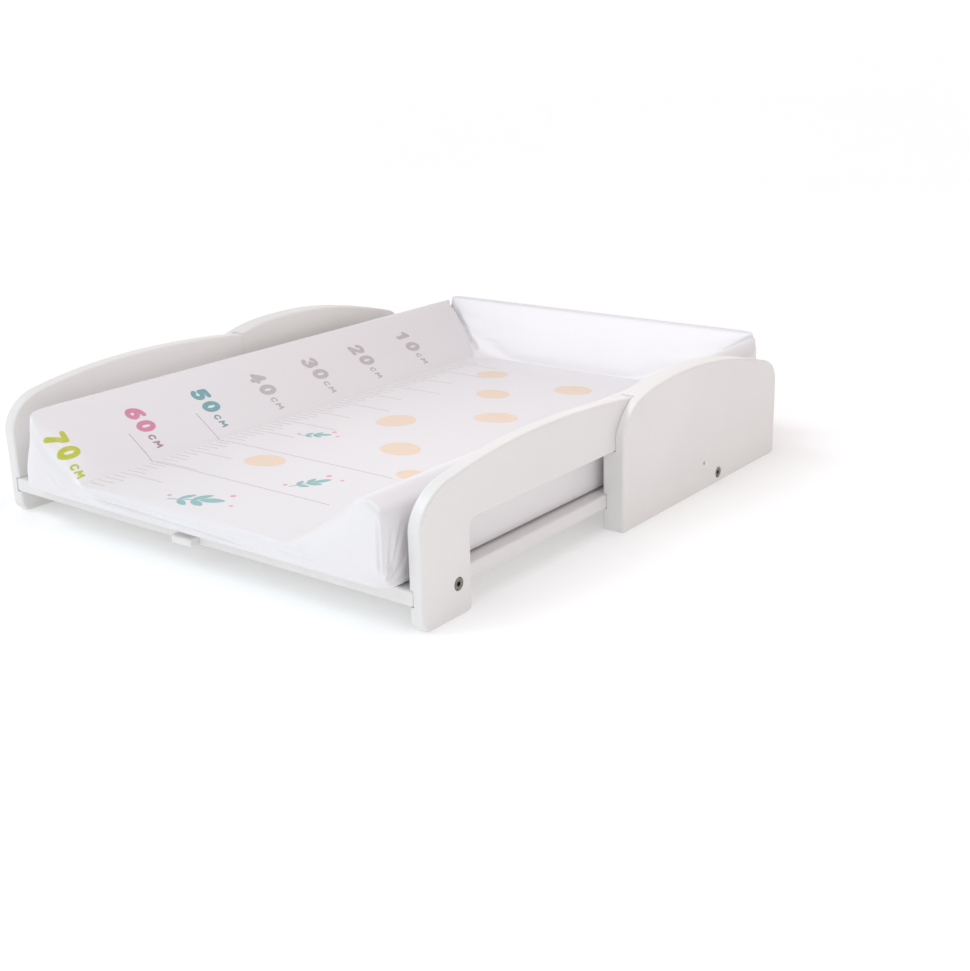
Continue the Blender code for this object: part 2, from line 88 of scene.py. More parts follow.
def noise_tex(nt, scale, detail=2.0, rough=0.5, stretch=None):
    """Noise in object space; scale counts features per metre."""
    co = node(nt, "ShaderNodeTexCoord")
    tex = node(nt, "ShaderNodeTexNoise")
    tex.inputs["Scale"].default_value = scale
    tex.inputs["Detail"].default_value = detail
    tex.inputs["Roughness"].default_value = rough
    if stretch:
        mp = node(nt, "ShaderNodeMapping")
        mp.inputs["Scale"].default_value = stretch
        nt.links.new(co.outputs["Object"], mp.inputs["Vector"])
        nt.links.new(mp.outputs["Vector"], tex.inputs["Vector"])
    else:
        nt.links.new(co.outputs["Object"], tex.inputs["Vector"])
    return tex.outputs["Fac"]


def ramp(nt, fac, stops):
    r = node(nt, "ShaderNodeValToRGB")
    e = r.color_ramp.elements
    while len(e) < len(stops):
        e.new(0.5)
    for k, (at, colour) in enumerate(stops):
        e[k].position = at
        e[k].color = (*colour, 1)
    nt.links.new(fac, r.inputs["Fac"])
    return r.outputs["Color"]


def span(nt, fac, low, high, from_low=0.3, from_high=0.7):
    mr = node(nt, "ShaderNodeMapRange")
    mr.inputs["From Min"].default_value = from_low
    mr.inputs["From Max"].default_value = from_high
    mr.inputs["To Min"].default_value = low
    mr.inputs["To Max"].default_value = high
    nt.links.new(fac, mr.inputs["Value"])
    return mr.outputs["Result"]


def product(nt, a, b):
    m = node(nt, "ShaderNodeMath", operation='MULTIPLY')
    nt.links.new(a, m.inputs[0])
    nt.links.new(b, m.inputs[1])
    return m.outputs[0]


def total(nt, a, b):
    m = node(nt, "ShaderNodeMath", operation='ADD')
    nt.links.new(a, m.inputs[0])
    nt.links.new(b, m.inputs[1])
    return m.outputs[0]


def blend_colour(nt, fac, a, b, kind='MIX'):
    mx = node(nt, "ShaderNodeMix", data_type='RGBA', blend_type=kind)
    if isinstance(fac, float):
        mx.inputs[0].default_value = fac
    else:
        nt.links.new(fac, mx.inputs[0])
    for slot, v in ((6, a), (7, b)):
        if isinstance(v, tuple):
            mx.inputs[slot].default_value = (*v, 1)
        else:
            nt.links.new(v, mx.inputs[slot])
    return mx.outputs[2]


def bump(nt, fac, strength, distance, before=None):
    b = node(nt, "ShaderNodeBump")
    b.inputs["Strength"].default_value = strength
    b.inputs["Distance"].default_value = distance
    nt.links.new(fac, b.inputs["Height"])
    if before is not None:
        nt.links.new(before, b.inputs["Normal"])
    return b.outputs["Normal"]


def edge_mask(nt, radius, low=0.015, high=0.22):
    """1 along the edges of the shape, 0 on its flat faces."""
    bv = node(nt, "ShaderNodeBevel", samples=6)
    bv.inputs["Radius"].default_value = radius
    ge = node(nt, "ShaderNodeNewGeometry")
    dot = node(nt, "ShaderNodeVectorMath", operation='DOT_PRODUCT')
    nt.links.new(bv.outputs["Normal"], dot.inputs[0])
    nt.links.new(ge.outputs["Normal"], dot.inputs[1])
    return span(nt, dot.outputs["Value"], 1.0, 0.0, 1 - high, 1 - low)


def painted(name, tone=(0.835, 0.825, 0.815), tone2=(0.805, 0.795, 0.785), worn=(0.70, 0.685, 0.665), rough=(0.33, 0.43)):
    """Sprayed satin paint: orange peel of about a millimetre over faint roller waves,
    rubbed a little greyer and duller along the edges."""
    m, nt, p = new_material(name)
    body = ramp(nt, noise_tex(nt, 7.0, 3.0, 0.55), [(0.3, tone2), (0.7, tone)])
    rubbed = product(nt, edge_mask(nt, 0.004), span(nt, noise_tex(nt, 90.0, 4.0, 0.62), 0.0, 0.75, 0.42, 0.68))
    nt.links.new(blend_colour(nt, rubbed, body, worn), p.inputs["Base Color"])
    nt.links.new(total(nt, span(nt, noise_tex(nt, 38.0, 3.0), *rough), span(nt, rubbed, 0.0, 0.18, 0.0, 1.0)), p.inputs["Roughness"])
    waves = bump(nt, noise_tex(nt, 55.0, 2.0), 0.10, 0.0006)
    peel = bump(nt, noise_tex(nt, 850.0, 2.0), 0.16, 0.00012, waves)
    nt.links.new(peel, p.inputs["Normal"])
    p.inputs["Specular IOR Level"].default_value = 0.5
    p.inputs["Coat Weight"].default_value = 0.12
    p.inputs["Coat Roughness"].default_value = 0.22
    return m


def film(name, tone=(0.855, 0.84, 0.855), tone2=(0.84, 0.82, 0.835), worn=(0.80, 0.79, 0.80), rough=(0.28, 0.36), grain=0.10):
    """Wipe-clean film: soft gloss, a fine pressed grain and very slow ripples over
    the foam, scuffed duller where its edges are handled."""
    m, nt, p = new_material(name)
    body = ramp(nt, noise_tex(nt, 4.0, 1.5, 0.4), [(0.32, tone2), (0.68, tone)])
    scuffed = product(nt, edge_mask(nt, 0.007), span(nt, noise_tex(nt, 60.0, 4.0, 0.62), 0.0, 0.7, 0.45, 0.7))
    nt.links.new(blend_colour(nt, scuffed, body, worn), p.inputs["Base Color"])
    nt.links.new(total(nt, span(nt, noise_tex(nt, 9.0, 2.0, 0.5), *rough), span(nt, scuffed, 0.0, 0.16, 0.0, 1.0)), p.inputs["Roughness"])
    slow = bump(nt, noise_tex(nt, 9.0, 0.0, 0.4), 0.10, 0.004)
    mid = bump(nt, noise_tex(nt, 70.0, 1.0, 0.4), 0.05, 0.0006, slow)
    fine = bump(nt, noise_tex(nt, 1300.0, 1.0, 0.5), grain, 0.00008, mid)
    nt.links.new(fine, p.inputs["Normal"])
    p.inputs["Specular IOR Level"].default_value = 0.5
    p.inputs["Coat Weight"].default_value = 0.10
    p.inputs["Coat Roughness"].default_value = 0.18
    return m


def ink(name, tone, depth=0.90):
    """Print on the film: the film's own grain under a slightly uneven ink."""
    m, nt, p = new_material(name)
    pale = tuple(v + (0.84 - v) * 0.10 for v in tone)
    deep = tuple(v * depth for v in tone)
    nt.links.new(ramp(nt, noise_tex(nt, 240.0, 4.0, 0.65), [(0.25, deep), (0.5, tone), (0.78, pale)]), p.inputs["Base Color"])
    nt.links.new(span(nt, noise_tex(nt, 30.0, 2.0, 0.5), 0.30, 0.40), p.inputs["Roughness"])
    nt.links.new(bump(nt, noise_tex(nt, 1300.0, 1.0, 0.5), 0.10, 0.00008), p.inputs["Normal"])
    p.inputs["Specular IOR Level"].default_value = 0.5
    p.inputs["Coat Weight"].default_value = 0.10
    p.inputs["Coat Roughness"].default_value = 0.18
    return m


def metal(name, tone, tone2, rough, brush=(40.0, 40.0, 40.0), worn=None):
    m, nt, p = new_material(name)
    body = ramp(nt, noise_tex(nt, 260.0, 4.0, 0.6), [(0.3, tone2), (0.7, tone)])
    if worn:
        body = blend_colour(nt, product(nt, edge_mask(nt, 0.0006), span(nt, noise_tex(nt, 700.0, 3.0), 0.1, 0.9)), body, worn)
    nt.links.new(body, p.inputs["Base Color"])
    nt.links.new(span(nt, noise_tex(nt, 18.0, 3.0, 0.6, brush), *rough), p.inputs["Roughness"])
    nt.links.new(bump(nt, noise_tex(nt, 900.0, 2.0), 0.2, 0.00008), p.inputs["Normal"])
    p.inputs["Metallic"].default_value = 1.0
    return m


def raw_wood(name, along=(1.0, 9.0, 9.0)):
    m, nt, p = new_material(name)
    grain = noise_tex(nt, 60.0, 6.0, 0.65, along)
    nt.links.new(ramp(nt, grain, [(0.25, (0.52, 0.36, 0.21)), (0.55, (0.68, 0.50, 0.32)), (0.8, (0.76, 0.60, 0.42))]), p.inputs["Base Color"])
    nt.links.new(bump(nt, grain, 0.25, 0.0003), p.inputs["Normal"])
    p.inputs["Roughness"].default_value = 0.62
    return m


PAINT = painted("satin_white_paint", (0.83, 0.812, 0.797), (0.80, 0.782, 0.767))
UNDER = painted("thin_white_primer", (0.80, 0.785, 0.765), (0.74, 0.72, 0.70), (0.62, 0.56, 0.48), (0.45, 0.6))
FILM = film("wipe_clean_film", (0.825, 0.802, 0.815), (0.81, 0.785, 0.798))
FILM_BACK = film("film_underside", (0.80, 0.80, 0.81), (0.77, 0.77, 0.785), (0.72, 0.72, 0.73), (0.42, 0.52), 0.3)
# dark grey bead: painted shade standing for the dark line along the back ridge's top edge
WELD_SHADE_GREY = film("weld_bead_painted_shade", (0.60, 0.56, 0.57), (0.54, 0.51, 0.52), (0.5, 0.48, 0.49), (0.26, 0.34), 0.06)
# vent screen: a mesh whose dark grey is partly painted shade of the hole behind it
VENT_MESH_AND_SHADE = film("vent_mesh_and_hole_shade", (0.55, 0.55, 0.57), (0.40, 0.40, 0.42), (0.5, 0.5, 0.5), (0.6, 0.7), 0.5)
BRONZE = metal("bronzed_steel_head", (0.29, 0.285, 0.245), (0.16, 0.158, 0.135), (0.32, 0.48), worn=(0.46, 0.44, 0.38))
ZINC = metal("zinc_plate", (0.66, 0.66, 0.64), (0.5, 0.5, 0.5), (0.28, 0.45))
BEECH = raw_wood("bare_beech")


def dress(ob, material):
    ob.data.materials.clear()
    ob.data.materials.append(material)
    return ob


# ------------------------------------------------------------------ mesh helpers
def to_frame(points):
    p = np.asarray(points, float).reshape(-1, 3).copy()
    p[:, 1] -= MID_Y
    return p * MM


def link(ob):
    bpy.context.scene.collection.objects.link(ob)
    return ob


def mesh_object(name, verts, faces):
    me = bpy.data.meshes.new(name)
    me.from_pydata([tuple(v) for v in verts], [], faces)
    me.validate()
    return link(bpy.data.objects.new(name, me))


def from_bmesh(name, bm):
    me = bpy.data.meshes.new(name)
    bm.to_mesh(me)
    bm.free()
    return link(bpy.data.objects.new(name, me))


def settle(ob):
    """Make an object's modifiers real."""
    bpy.context.view_layer.update()
    dg = bpy.context.evaluated_depsgraph_get()
    me = bpy.data.meshes.new_from_object(ob.evaluated_get(dg))
    me.name = ob.name
    if ob.type == 'MESH':
        ob.modifiers.clear()
        ob.data = me
        return ob
    new = bpy.data.objects.new(ob.name + "_mesh", me)
    new.matrix_world = ob.matrix_world.copy()
    link(new)
    name = ob.name
    bpy.data.objects.remove(ob, do_unlink=True)
    new.name = name
    return new


def box_mm(name, lo, hi, bevel=0.0, segments=4, keep_back=False):
    """Box with rounded edges; keep_back leaves the edges of its +Y face sharp."""
    lo, hi = to_frame([lo, hi])
    bm = bmesh.new()
    bmesh.ops.create_cube(bm, size=1.0)
    bmesh.ops.scale(bm, vec=Vector(hi - lo), verts=bm.verts)
    bmesh.ops.translate(bm, vec=Vector((hi + lo) / 2), verts=bm.verts)
    if bevel:
        edges = [e for e in bm.edges if not (keep_back and all(v.co.y > hi[1] - 1e-6 for v in e.verts))]
        bmesh.ops.bevel(bm, geom=edges, offset=bevel * MM, segments=segments, profile=0.5, affect='EDGES')
    return from_bmesh(name, bm)


TURN = {'X': Matrix.Rotation(math.pi / 2, 4, 'Y'), 'Y': Matrix.Rotation(-math.pi / 2, 4, 'X'), 'Z': Matrix.Identity(4)}


def rod_mm(name, r, length, middle, axis, sides=48):
    bm = bmesh.new()
    bmesh.ops.create_cone(bm, cap_ends=True, segments=sides, radius1=r * MM, radius2=r * MM, depth=length * MM,
                          matrix=Matrix.Translation(to_frame(middle)[0]) @ TURN[axis])
    return from_bmesh(name, bm)


def turned_mm(name, profile, place, direction, sides=48):
    """Solid of revolution; profile is (radius, depth) in mm from the outer face
    inwards, direction the unit vector that the outer face looks along."""
    bm = bmesh.new()
    d = Vector(direction)
    q = d.to_track_quat('Z', 'Y').to_matrix().to_4x4()
    rings = []
    for r, h in profile:
        if r <= 1e-6:
            rings.append([bm.verts.new((0, 0, -h * MM))])
        else:
            rings.append([bm.verts.new((r * MM * math.cos(2 * math.pi * k / sides), r * MM * math.sin(2 * math.pi * k / sides), -h * MM))
                          for k in range(sides)])
    for a, b in zip(rings, rings[1:]):
        for k in range(sides):
            k2 = (k + 1) % sides
            if len(a) == 1:
                bm.faces.new((a[0], b[k], b[k2]))
            elif len(b) == 1:
                bm.faces.new((a[k], b[0], a[k2]))
            else:
                bm.faces.new((a[k], b[k], b[k2], a[k2]))
    if len(rings[0]) > 1 and len(rings[-1]) > 1:
        for k in range(sides):
            k2 = (k + 1) % sides
            bm.faces.new((rings[-1][k], rings[0][k], rings[0][k2], rings[-1][k2]))
    bm.transform(Matrix.Translation(to_frame(place)[0]) @ q)
    bmesh.ops.recalc_face_normals(bm, faces=bm.faces[:])
    return from_bmesh(name, bm)


def carve(ob, cutters):
    for c in cutters:
        m = ob.modifiers.new(c.name, 'BOOLEAN')
        m.operation = 'DIFFERENCE'
        m.solver = 'EXACT'
        m.object = c
    settle(ob)
    return ob


def drop(*obs):
    for o in obs:
        bpy.data.objects.remove(o, do_unlink=True)


def even_normals(ob, angle=32):
    """Smooth shading whose large flat faces stay flat."""
    ob.data.shade_smooth()
    ob.data.set_sharp_from_angle(angle=math.radians(angle))
    w = ob.modifiers.new("weighted_normals", 'WEIGHTED_NORMAL')
    w.keep_sharp = True
    w.weight = 60
    return ob


# ------------------------------------------------------------------ panel outlines
def arc(cy, cz, r, a0, a1, n):
    return [(cy + r * math.cos(math.radians(a0 + (a1 - a0) * i / n)), cz + r * math.sin(math.radians(a0 + (a1 - a0) * i / n)))
            for i in range(n + 1)]


def bezier(p0, p1, p2, p3, n):
    out = []
    for i in range(n + 1):
        t = i / n
        a, b, c, d = (1 - t) ** 3, 3 * t * (1 - t) ** 2, 3 * t * t * (1 - t), t ** 3
        out.append(tuple(a * p0[k] + b * p1[k] + c * p2[k] + d * p3[k] for k in (0, 1)))
    return out


def hermite(p0, s0, p1, s1, n):
    w = (p1[0] - p0[0]) / 3
    return bezier(p0, (p0[0] + w, p0[1] + w * s0), (p1[0] - w, p1[1] - w * s1), p1, n)


def tidy(points, least=0.35):
    out = []
    for p in points:
        if not out or math.dist(p, out[-1]) > least:
            out.append(p)
    if math.dist(out[0], out[-1]) < least:
        out.pop()
    return out


def front_outline():
    pts = arc(12, 12, 12, 180, 270, 16)
    pts += arc(67, 6, 6, 270, 360, 10)
    pts += list(reversed(arc(83, 81.5, 10, 90, 180, 14)))
    pts += [(367, 91.5), (367, 142.8)]                     # the rail's end is cut square afterwards
    crown = hermite((42, 138.5), 0.2, (205, 153.3), 0.0, 40)
    crown += hermite((205, 153.3), 0.0, (362, 143.4), -0.115, 36)
    pts += list(reversed(crown))
    pts += list(reversed(bezier((0, 95), (0, 115), (19, 133.3), (42, 138.5), 30)))
    return tidy(pts)


def rear_outline():
    pts = arc(327.5, 3, 3, 180, 270, 8)
    pts += arc(678, 5, 5, 270, 360, 10)
    pts += bezier((683, 92), (683, 109), (672, 120.4), (655, 125), 28)
    top = hermite((353, 142), 0.33, (462, 155), 0.0, 28) + hermite((462, 155), 0.0, (655, 125), -0.28, 40)
    pts += list(reversed(top))
    pts += list(reversed(bezier((324.5, 106), (325.5, 117), (339, 135.5), (353, 142), 26)))
    return tidy(pts)


def panel(name, outline, x_mid, thick, edge=2.8):
    cu = bpy.data.curves.new(name, 'CURVE')
    cu.dimensions = '2D'
    cu.fill_mode = 'BOTH'
    cu.extrude = (thick / 2 - edge) * MM
    cu.bevel_depth = edge * MM
    cu.bevel_resolution = 5
    cu.offset = -edge * MM
    sp = cu.splines.new('POLY')
    sp.points.add(len(outline) - 1)
    for point, (y, z) in zip(sp.points, outline):
        point.co = ((y - MID_Y) * MM, z * MM, 0, 1)
    sp.use_cyclic_u = True
    ob = link(bpy.data.objects.new(name, cu))
    ob.rotation_euler = (math.pi / 2, 0, math.pi / 2)
    ob.location = (x_mid * MM, 0, 0)
    ob = settle(ob)
    ob.data.transform(ob.matrix_world)
    ob.matrix_world = Matrix.Identity(4)
    bm = bmesh.new()
    bm.from_mesh(ob.data)
    bmesh.ops.remove_doubles(bm, verts=bm.verts, dist=0.00002)
    bmesh.ops.dissolve_degenerate(bm, dist=0.00001, edges=bm.edges)
    bmesh.ops.recalc_face_normals(bm, faces=bm.faces)
    bm.to_mesh(ob.data)
    bm.free()
    return ob


# ------------------------------------------------------------------ wood and metal
def stands_for(ob, body, slot, material, *nodes):
    dress(ob, material)
    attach(ob, body)
    if nodes:
        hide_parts(*nodes)
    return ob


base = box_mm("base_board_painted", (-302, 0, 25), (302, 683, 41.3), 2.4, 6)
base_cuts = []
for side, word in ((1, "right"), (-1, "left")):
    def x_box(name, x0, x1, y0, y1, z0, z1):
        return box_mm(name, (min(side * x0, side * x1), y0, z0), (max(side * x0, side * x1), y1, z1))

    def x_rod(name, r, x0, x1, y, z, sides=48):
        return rod_mm(name, r, abs(x1 - x0), (side * (x0 + x1) / 2, y, z), 'X', sides)

    front = panel("front_panel_%s_painted" % word, front_outline(), side * 305.0, 16.0)
    rear = panel("rear_panel_%s_painted" % word, rear_outline(), side * 310.5, 27.0)
    groove = x_box("groove", 289, 302.3, -20, 703, 24.7, 41.6)
    recess = x_box("recess", 289, 313.3, 294.5, 362.3, 91.2, 190)
    leg_head = x_rod("leg_head", 6.8, 306.5, 319, 53, 33.15)
    leg_hole = x_rod("leg_hole", 3.4, 280, 309, 53, 33.15, 32)
    rear_head = x_rod("rear_head", 6.8, 316.9, 330, 537, 12.5)
    rear_hole = x_rod("rear_hole", 3.4, 280, 319, 537, 12.5, 32)
    pin_hole = x_rod("pin_hole", 2.3, 280, 330, 502, 33.15, 24)
    rail_cut = x_box("rail_cut", 290, 320, 362, 380, 80, 170)
    sockets = [turned_mm("screw_seat_%d" % k, [(0, -4.0), (4.1, -4.0), (4.1, 0.5), (2.2, 2.4), (2.2, 22.3), (0, 22.3)],
                         (side * 297.3, 344.0, z), (-side, 0, 0), 32) for k, z in enumerate((97.5, 110.5))]
    carve(front, [groove, leg_head, leg_hole, rail_cut] + sockets)
    carve(rear, [groove, recess, rear_head, rear_hole, pin_hole] + sockets)
    base_cuts += [leg_hole, pin_hole, rod_mm("nut_pocket", 5.3, 24, (side * 272, 53, 27.5), 'Z', 32)]
    drop(groove, recess, leg_head, rear_head, rear_hole, rail_cut, *sockets)
    for ob, cad in ((front, "front_panel_" + word), (rear, "rear_panel_" + word)):
        even_normals(ob)
        stands_for(ob, "top", "white_paint", PAINT, cad)

    # bolts: domed heads with a rolled rim and a hexagon socket
    for kind, x_face, y, z, length in (("leg_bolt", 312.9, 53.0, 33.15, 50.9), ("rear_bolt", 323.6, 537.0, 12.5, 66.6)):
        head = [(0, 0.05), (3.6, 0.05), (4.9, 0.0), (5.5, 0.12), (5.95, 0.4), (6.2, 0.85), (6.3, 1.4), (6.3, 5.3), (6.0, 5.6), (3.0, 5.6),
                (3.0, length - 1.2), (1.8, length), (0, length)]
        bolt = turned_mm("%s_%s_head" % (kind, word), head, (side * x_face, y, z), (side, 0, 0), 64)
        hexa = rod_mm("hexa", 2.5 / math.cos(math.pi / 6), 8.0, (side * x_face, y, z), 'X', 6)
        carve(bolt, [hexa])
        drop(hexa)
        even_normals(bolt, 40)
        stands_for(bolt, "top", "bronzed_steel", BRONZE, "%s_%s" % (kind, word))
carve(base, base_cuts)
drop(*base_cuts)
even_normals(base)
stands_for(base, "top", "white_paint", PAINT, "base_board")

lug = box_mm("front_lug_painted", (-18, -12.3, 25.2), (12, -0.3, 34.5), 2.4, 6, keep_back=True)
even_normals(lug)
stands_for(lug, "top", "white_paint", PAINT, "front_lug")
rail = box_mm("cross_rail_painted", (-296.7, 519, 0.5), (296.7, 555, 24.7), 2.0, 4)
rail_cuts = []
for side in (1, -1):
    rail_cuts.append(rod_mm("bolt_way", 3.4, 60, (side * 283, 537, 12.5), 'X', 32))
    rail_cuts.append(rod_mm("nut_way", 5.3, 24, (side * 267, 537, 6.8), 'Z', 32))
    rail_cuts.append(rod_mm("dowel_way", 4.3, 30.6, (side * 297, 526.5, 12.5), 'X', 32))
carve(rail, rail_cuts)
drop(*rail_cuts)
even_normals(rail)
stands_for(rail, "top", "white_paint", UNDER, "cross_rail")

for name, ob in NODES.items():
    if name.startswith("mat_") or ob.hide_render:
        continue
    if "dowel" in name:
        dress(ob, BEECH)
    else:
        dress(ob, ZINC)
        if name.startswith("wall_bracket"):
            b = ob.modifiers.new("rolled_edges", 'BEVEL')
            b.width, b.segments, b.limit_method = 0.0005, 3, 'ANGLE'

# ------------------------------------------------------------------ the mat: form
# A tray of film over foam. Signed distances in mm, in the mat's own frame, where
# x = 0 is its middle; the whole mat lies MAT_X to the right of the tray's middle.
MAT_X = 6.0
Z0, FLOOR_Z = 41.9, 64.0
FOLD, RIDGE, RIDGE_Z, HALF, SHOULDER_Z = 158.0, 258.0, 132.5, 281.0, 119.0
Y_FRONT, Y_FOLD, Y_RIDGE, Y_BACK_LOW, Y_BACK = -22.0, 688.0, 750.0, 738.0, 752.0
BACK_TOP = 136.8
CORNER_X, CORNER_Y, CORNER_R = 241.0, 712.0, 40.0          # rounding of the back corners in plan
MITRE_X, MITRE_Y = 252.0, 742.0                            # where side and back ridge meet
MITRE_ANGLE = math.radians(67.5)


def rmax(a, b, r):
    """Intersection of two half spaces with a round edge of radius r."""
    u, v = np.maximum(a + r, 0), np.maximum(b + r, 0)
    return np.minimum(-r, np.maximum(a, b)) + np.sqrt(u * u + v * v)


def rmin(a, b, r):
    return -rmax(-a, -b, r)


def plane(u, v, p, q):
    """Signed distance to the line p-q in the u-v section, positive on its left."""
    dx, dy = q[0] - p[0], q[1] - p[1]
    n = math.hypot(dx, dy)
    return ((u - p[0]) * -dy + (v - p[1]) * dx) / n


def step(t, a, b):
    t = np.clip((t - a) / (b - a), 0, 1)
    return t * t * (3 - 2 * t)


def outline_at(p):
    """Plan outline: a soft left front corner that is drawn in, a crisp right one,
    and round back corners."""
    x, y, z = p[:, 0], p[:, 1], p[:, 2]
    ax = np.abs(x)
    near = (1 - step(y, Y_FRONT, 150)) ** 2
    half = HALF - np.where(x < 0, near * (20 + step(z, 50, 120)), 0)
    half = half - 7 * step(y, 600, Y_BACK) - 13 * step(y, 690, Y_BACK) * step(z, 116, 134)
    r_front = np.where(x < 0, 14 + 20 * step(z, 60, 115), 16 - 11.5 * step(z, 50, 62))
    r_back = 36 + 8 * step(z, 50, 118) - 20 * step(z, 120, 132)
    f = rmax(ax - half, Y_FRONT - y, r_front)
    return rmax(f, plane(y, z, (Y_BACK, RIDGE_Z), (Y_BACK_LOW, Z0)), r_back)


def distance(p):
    x, y, z = p[:, 0], p[:, 1], p[:, 2]
    ax = np.abs(x)
    side = rmax(plane(ax, z, (FOLD, FLOOR_Z), (RIDGE, RIDGE_Z)), plane(ax, z, (RIDGE, RIDGE_Z), (HALF, SHOULDER_Z)), 8.0)
    back = rmax(plane(y, z, (Y_FOLD, FLOOR_Z), (747.0, 136.5)), z - BACK_TOP, 2.8)
    top = rmin(rmin(z - FLOOR_Z, side, 5.0), back, 4.0)
    front_r = 7 + 14 * step(ax, 150, 194) * (1 - step(ax, 204, 256)) - 1.5 * step(ax, 236, 258)
    r_e = 7 + (front_r - 7) * (1 - step(y, Y_FRONT + 4, Y_FRONT + 45))
    r_e = r_e + (2.5 - r_e) * step(y, 700, 742)
    f = rmax(top, outline_at(p), r_e)
    return rmax(f, Z0 - z, 5.0 + 4.0 * (1 - step(y, Y_FRONT, 10)))


def gradient(p, of=distance, h=0.05):
    g = np.zeros_like(p)
    for k in range(3):
        d = np.zeros(3)
        d[k] = h
        g[:, k] = (of(p + d) - of(p - d)) / (2 * h)
    return g


def graded(a, b, spacing, end_a, end_b, reach_a=3.0, reach_b=3.0):
    """Samples from a to b, finer towards the ends where asked."""
    n = 600
    t = np.linspace(0, 1, n)
    length = abs(b - a)
    s = t * length
    size = np.minimum(spacing, np.minimum(end_a + s / reach_a, end_b + (length - s) / reach_b))
    density = np.cumsum(1 / size)
    density = (density - density[0]) / (density[-1] - density[0])
    count = max(2, int(round(float(((1 / size)[1:] + (1 / size)[:-1]) @ np.diff(s)) / 2)))
    return a + (b - a) * np.interp(np.linspace(0, 1, count + 1), density, t)


WALL = graded(0, 1, 6.6 / 121, 1.6 / 121, 2.2 / 121)                         # fold to ridge
CREST = graded(0, 1, 3.2 / 25, 2.6 / 25, 1.2 / 25)[1:]                       # ridge to outer edge
DROP = graded(0, 1, 5.3 / 77, 2.2 / 77, 1.6 / 77)[1:]                        # outer edge to underside
ALONG = graded(0, 1, 6.8 / 730, 1.7 / 730, 1.2 / 730, 8.0, 3.0)              # front to back
ACROSS = graded(-1, 1, 6.6 / 158, 1.5 / 158, 1.5 / 158)                      # between the side folds


def outer_side(t):
    """Plan path of the outer side from the front to the mitre."""
    run = t * (CORNER_Y - Y_FRONT + CORNER_R * MITRE_ANGLE)
    if run < CORNER_Y - Y_FRONT:
        return HALF, Y_FRONT + run, 0.0
    a = (run - (CORNER_Y - Y_FRONT)) / CORNER_R
    return CORNER_X + CORNER_R * math.cos(a), CORNER_Y + CORNER_R * math.sin(a), math.sin(a)


def outer_back(t):
    """The same along the back, t from 0 in the middle to 1 at the mitre."""
    run = t * (CORNER_X + CORNER_R * (math.pi / 2 - MITRE_ANGLE))
    if run < CORNER_X:
        return run, Y_BACK, 1.0
    a = math.pi / 2 - (run - CORNER_X) / CORNER_R
    return CORNER_X + CORNER_R * math.cos(a), CORNER_Y + CORNER_R * math.sin(a), math.sin(a)


def column(ridge, outer, edge_z, fold):
    """One column of the wall: fold, ridge and outer edge in plan, down to the underside."""
    pts = [fold + (ridge - fold) * w for w in WALL]
    top = np.array([outer[0], outer[1], edge_z])
    pts += [ridge + (top - ridge) * k for k in CREST]
    for d in DROP:
        z = edge_z + (Z0 - edge_z) * d
        lean = (Y_BACK - Y_BACK_LOW) * (RIDGE_Z - z) / (RIDGE_Z - Z0) * outer[2]
        pts.append(np.array([outer[0], outer[1] - lean, z]))
    return pts


def side_column(sign, t):
    near_end = float(step(np.array(t), 0.93, 1.0))
    fold = np.array([FOLD, Y_FRONT + (Y_FOLD - Y_FRONT) * t, FLOOR_Z])
    ridge = np.array([RIDGE + (MITRE_X - RIDGE) * near_end, Y_FRONT + (MITRE_Y - Y_FRONT) * t, RIDGE_Z + 4.0 * near_end])
    pts = column(ridge, outer_side(t), SHOULDER_Z + 16.0 * near_end, fold)
    return [p * (sign, 1, 1) for p in pts]


def back_column(a):
    near_end = float(step(np.array(abs(a)), 0.9, 1.0))
    sign = 1 if a >= 0 else -1
    fold = np.array([FOLD * abs(a), Y_FOLD, FLOOR_Z])
    ridge = np.array([MITRE_X * abs(a), 748.5 + (MITRE_Y - 748.5) * near_end, RIDGE_Z + 4.0])
    pts = column(ridge, outer_back(abs(a)), SHOULDER_Z + 16.0, fold)
    return [p * (sign, 1, 1) for p in pts]


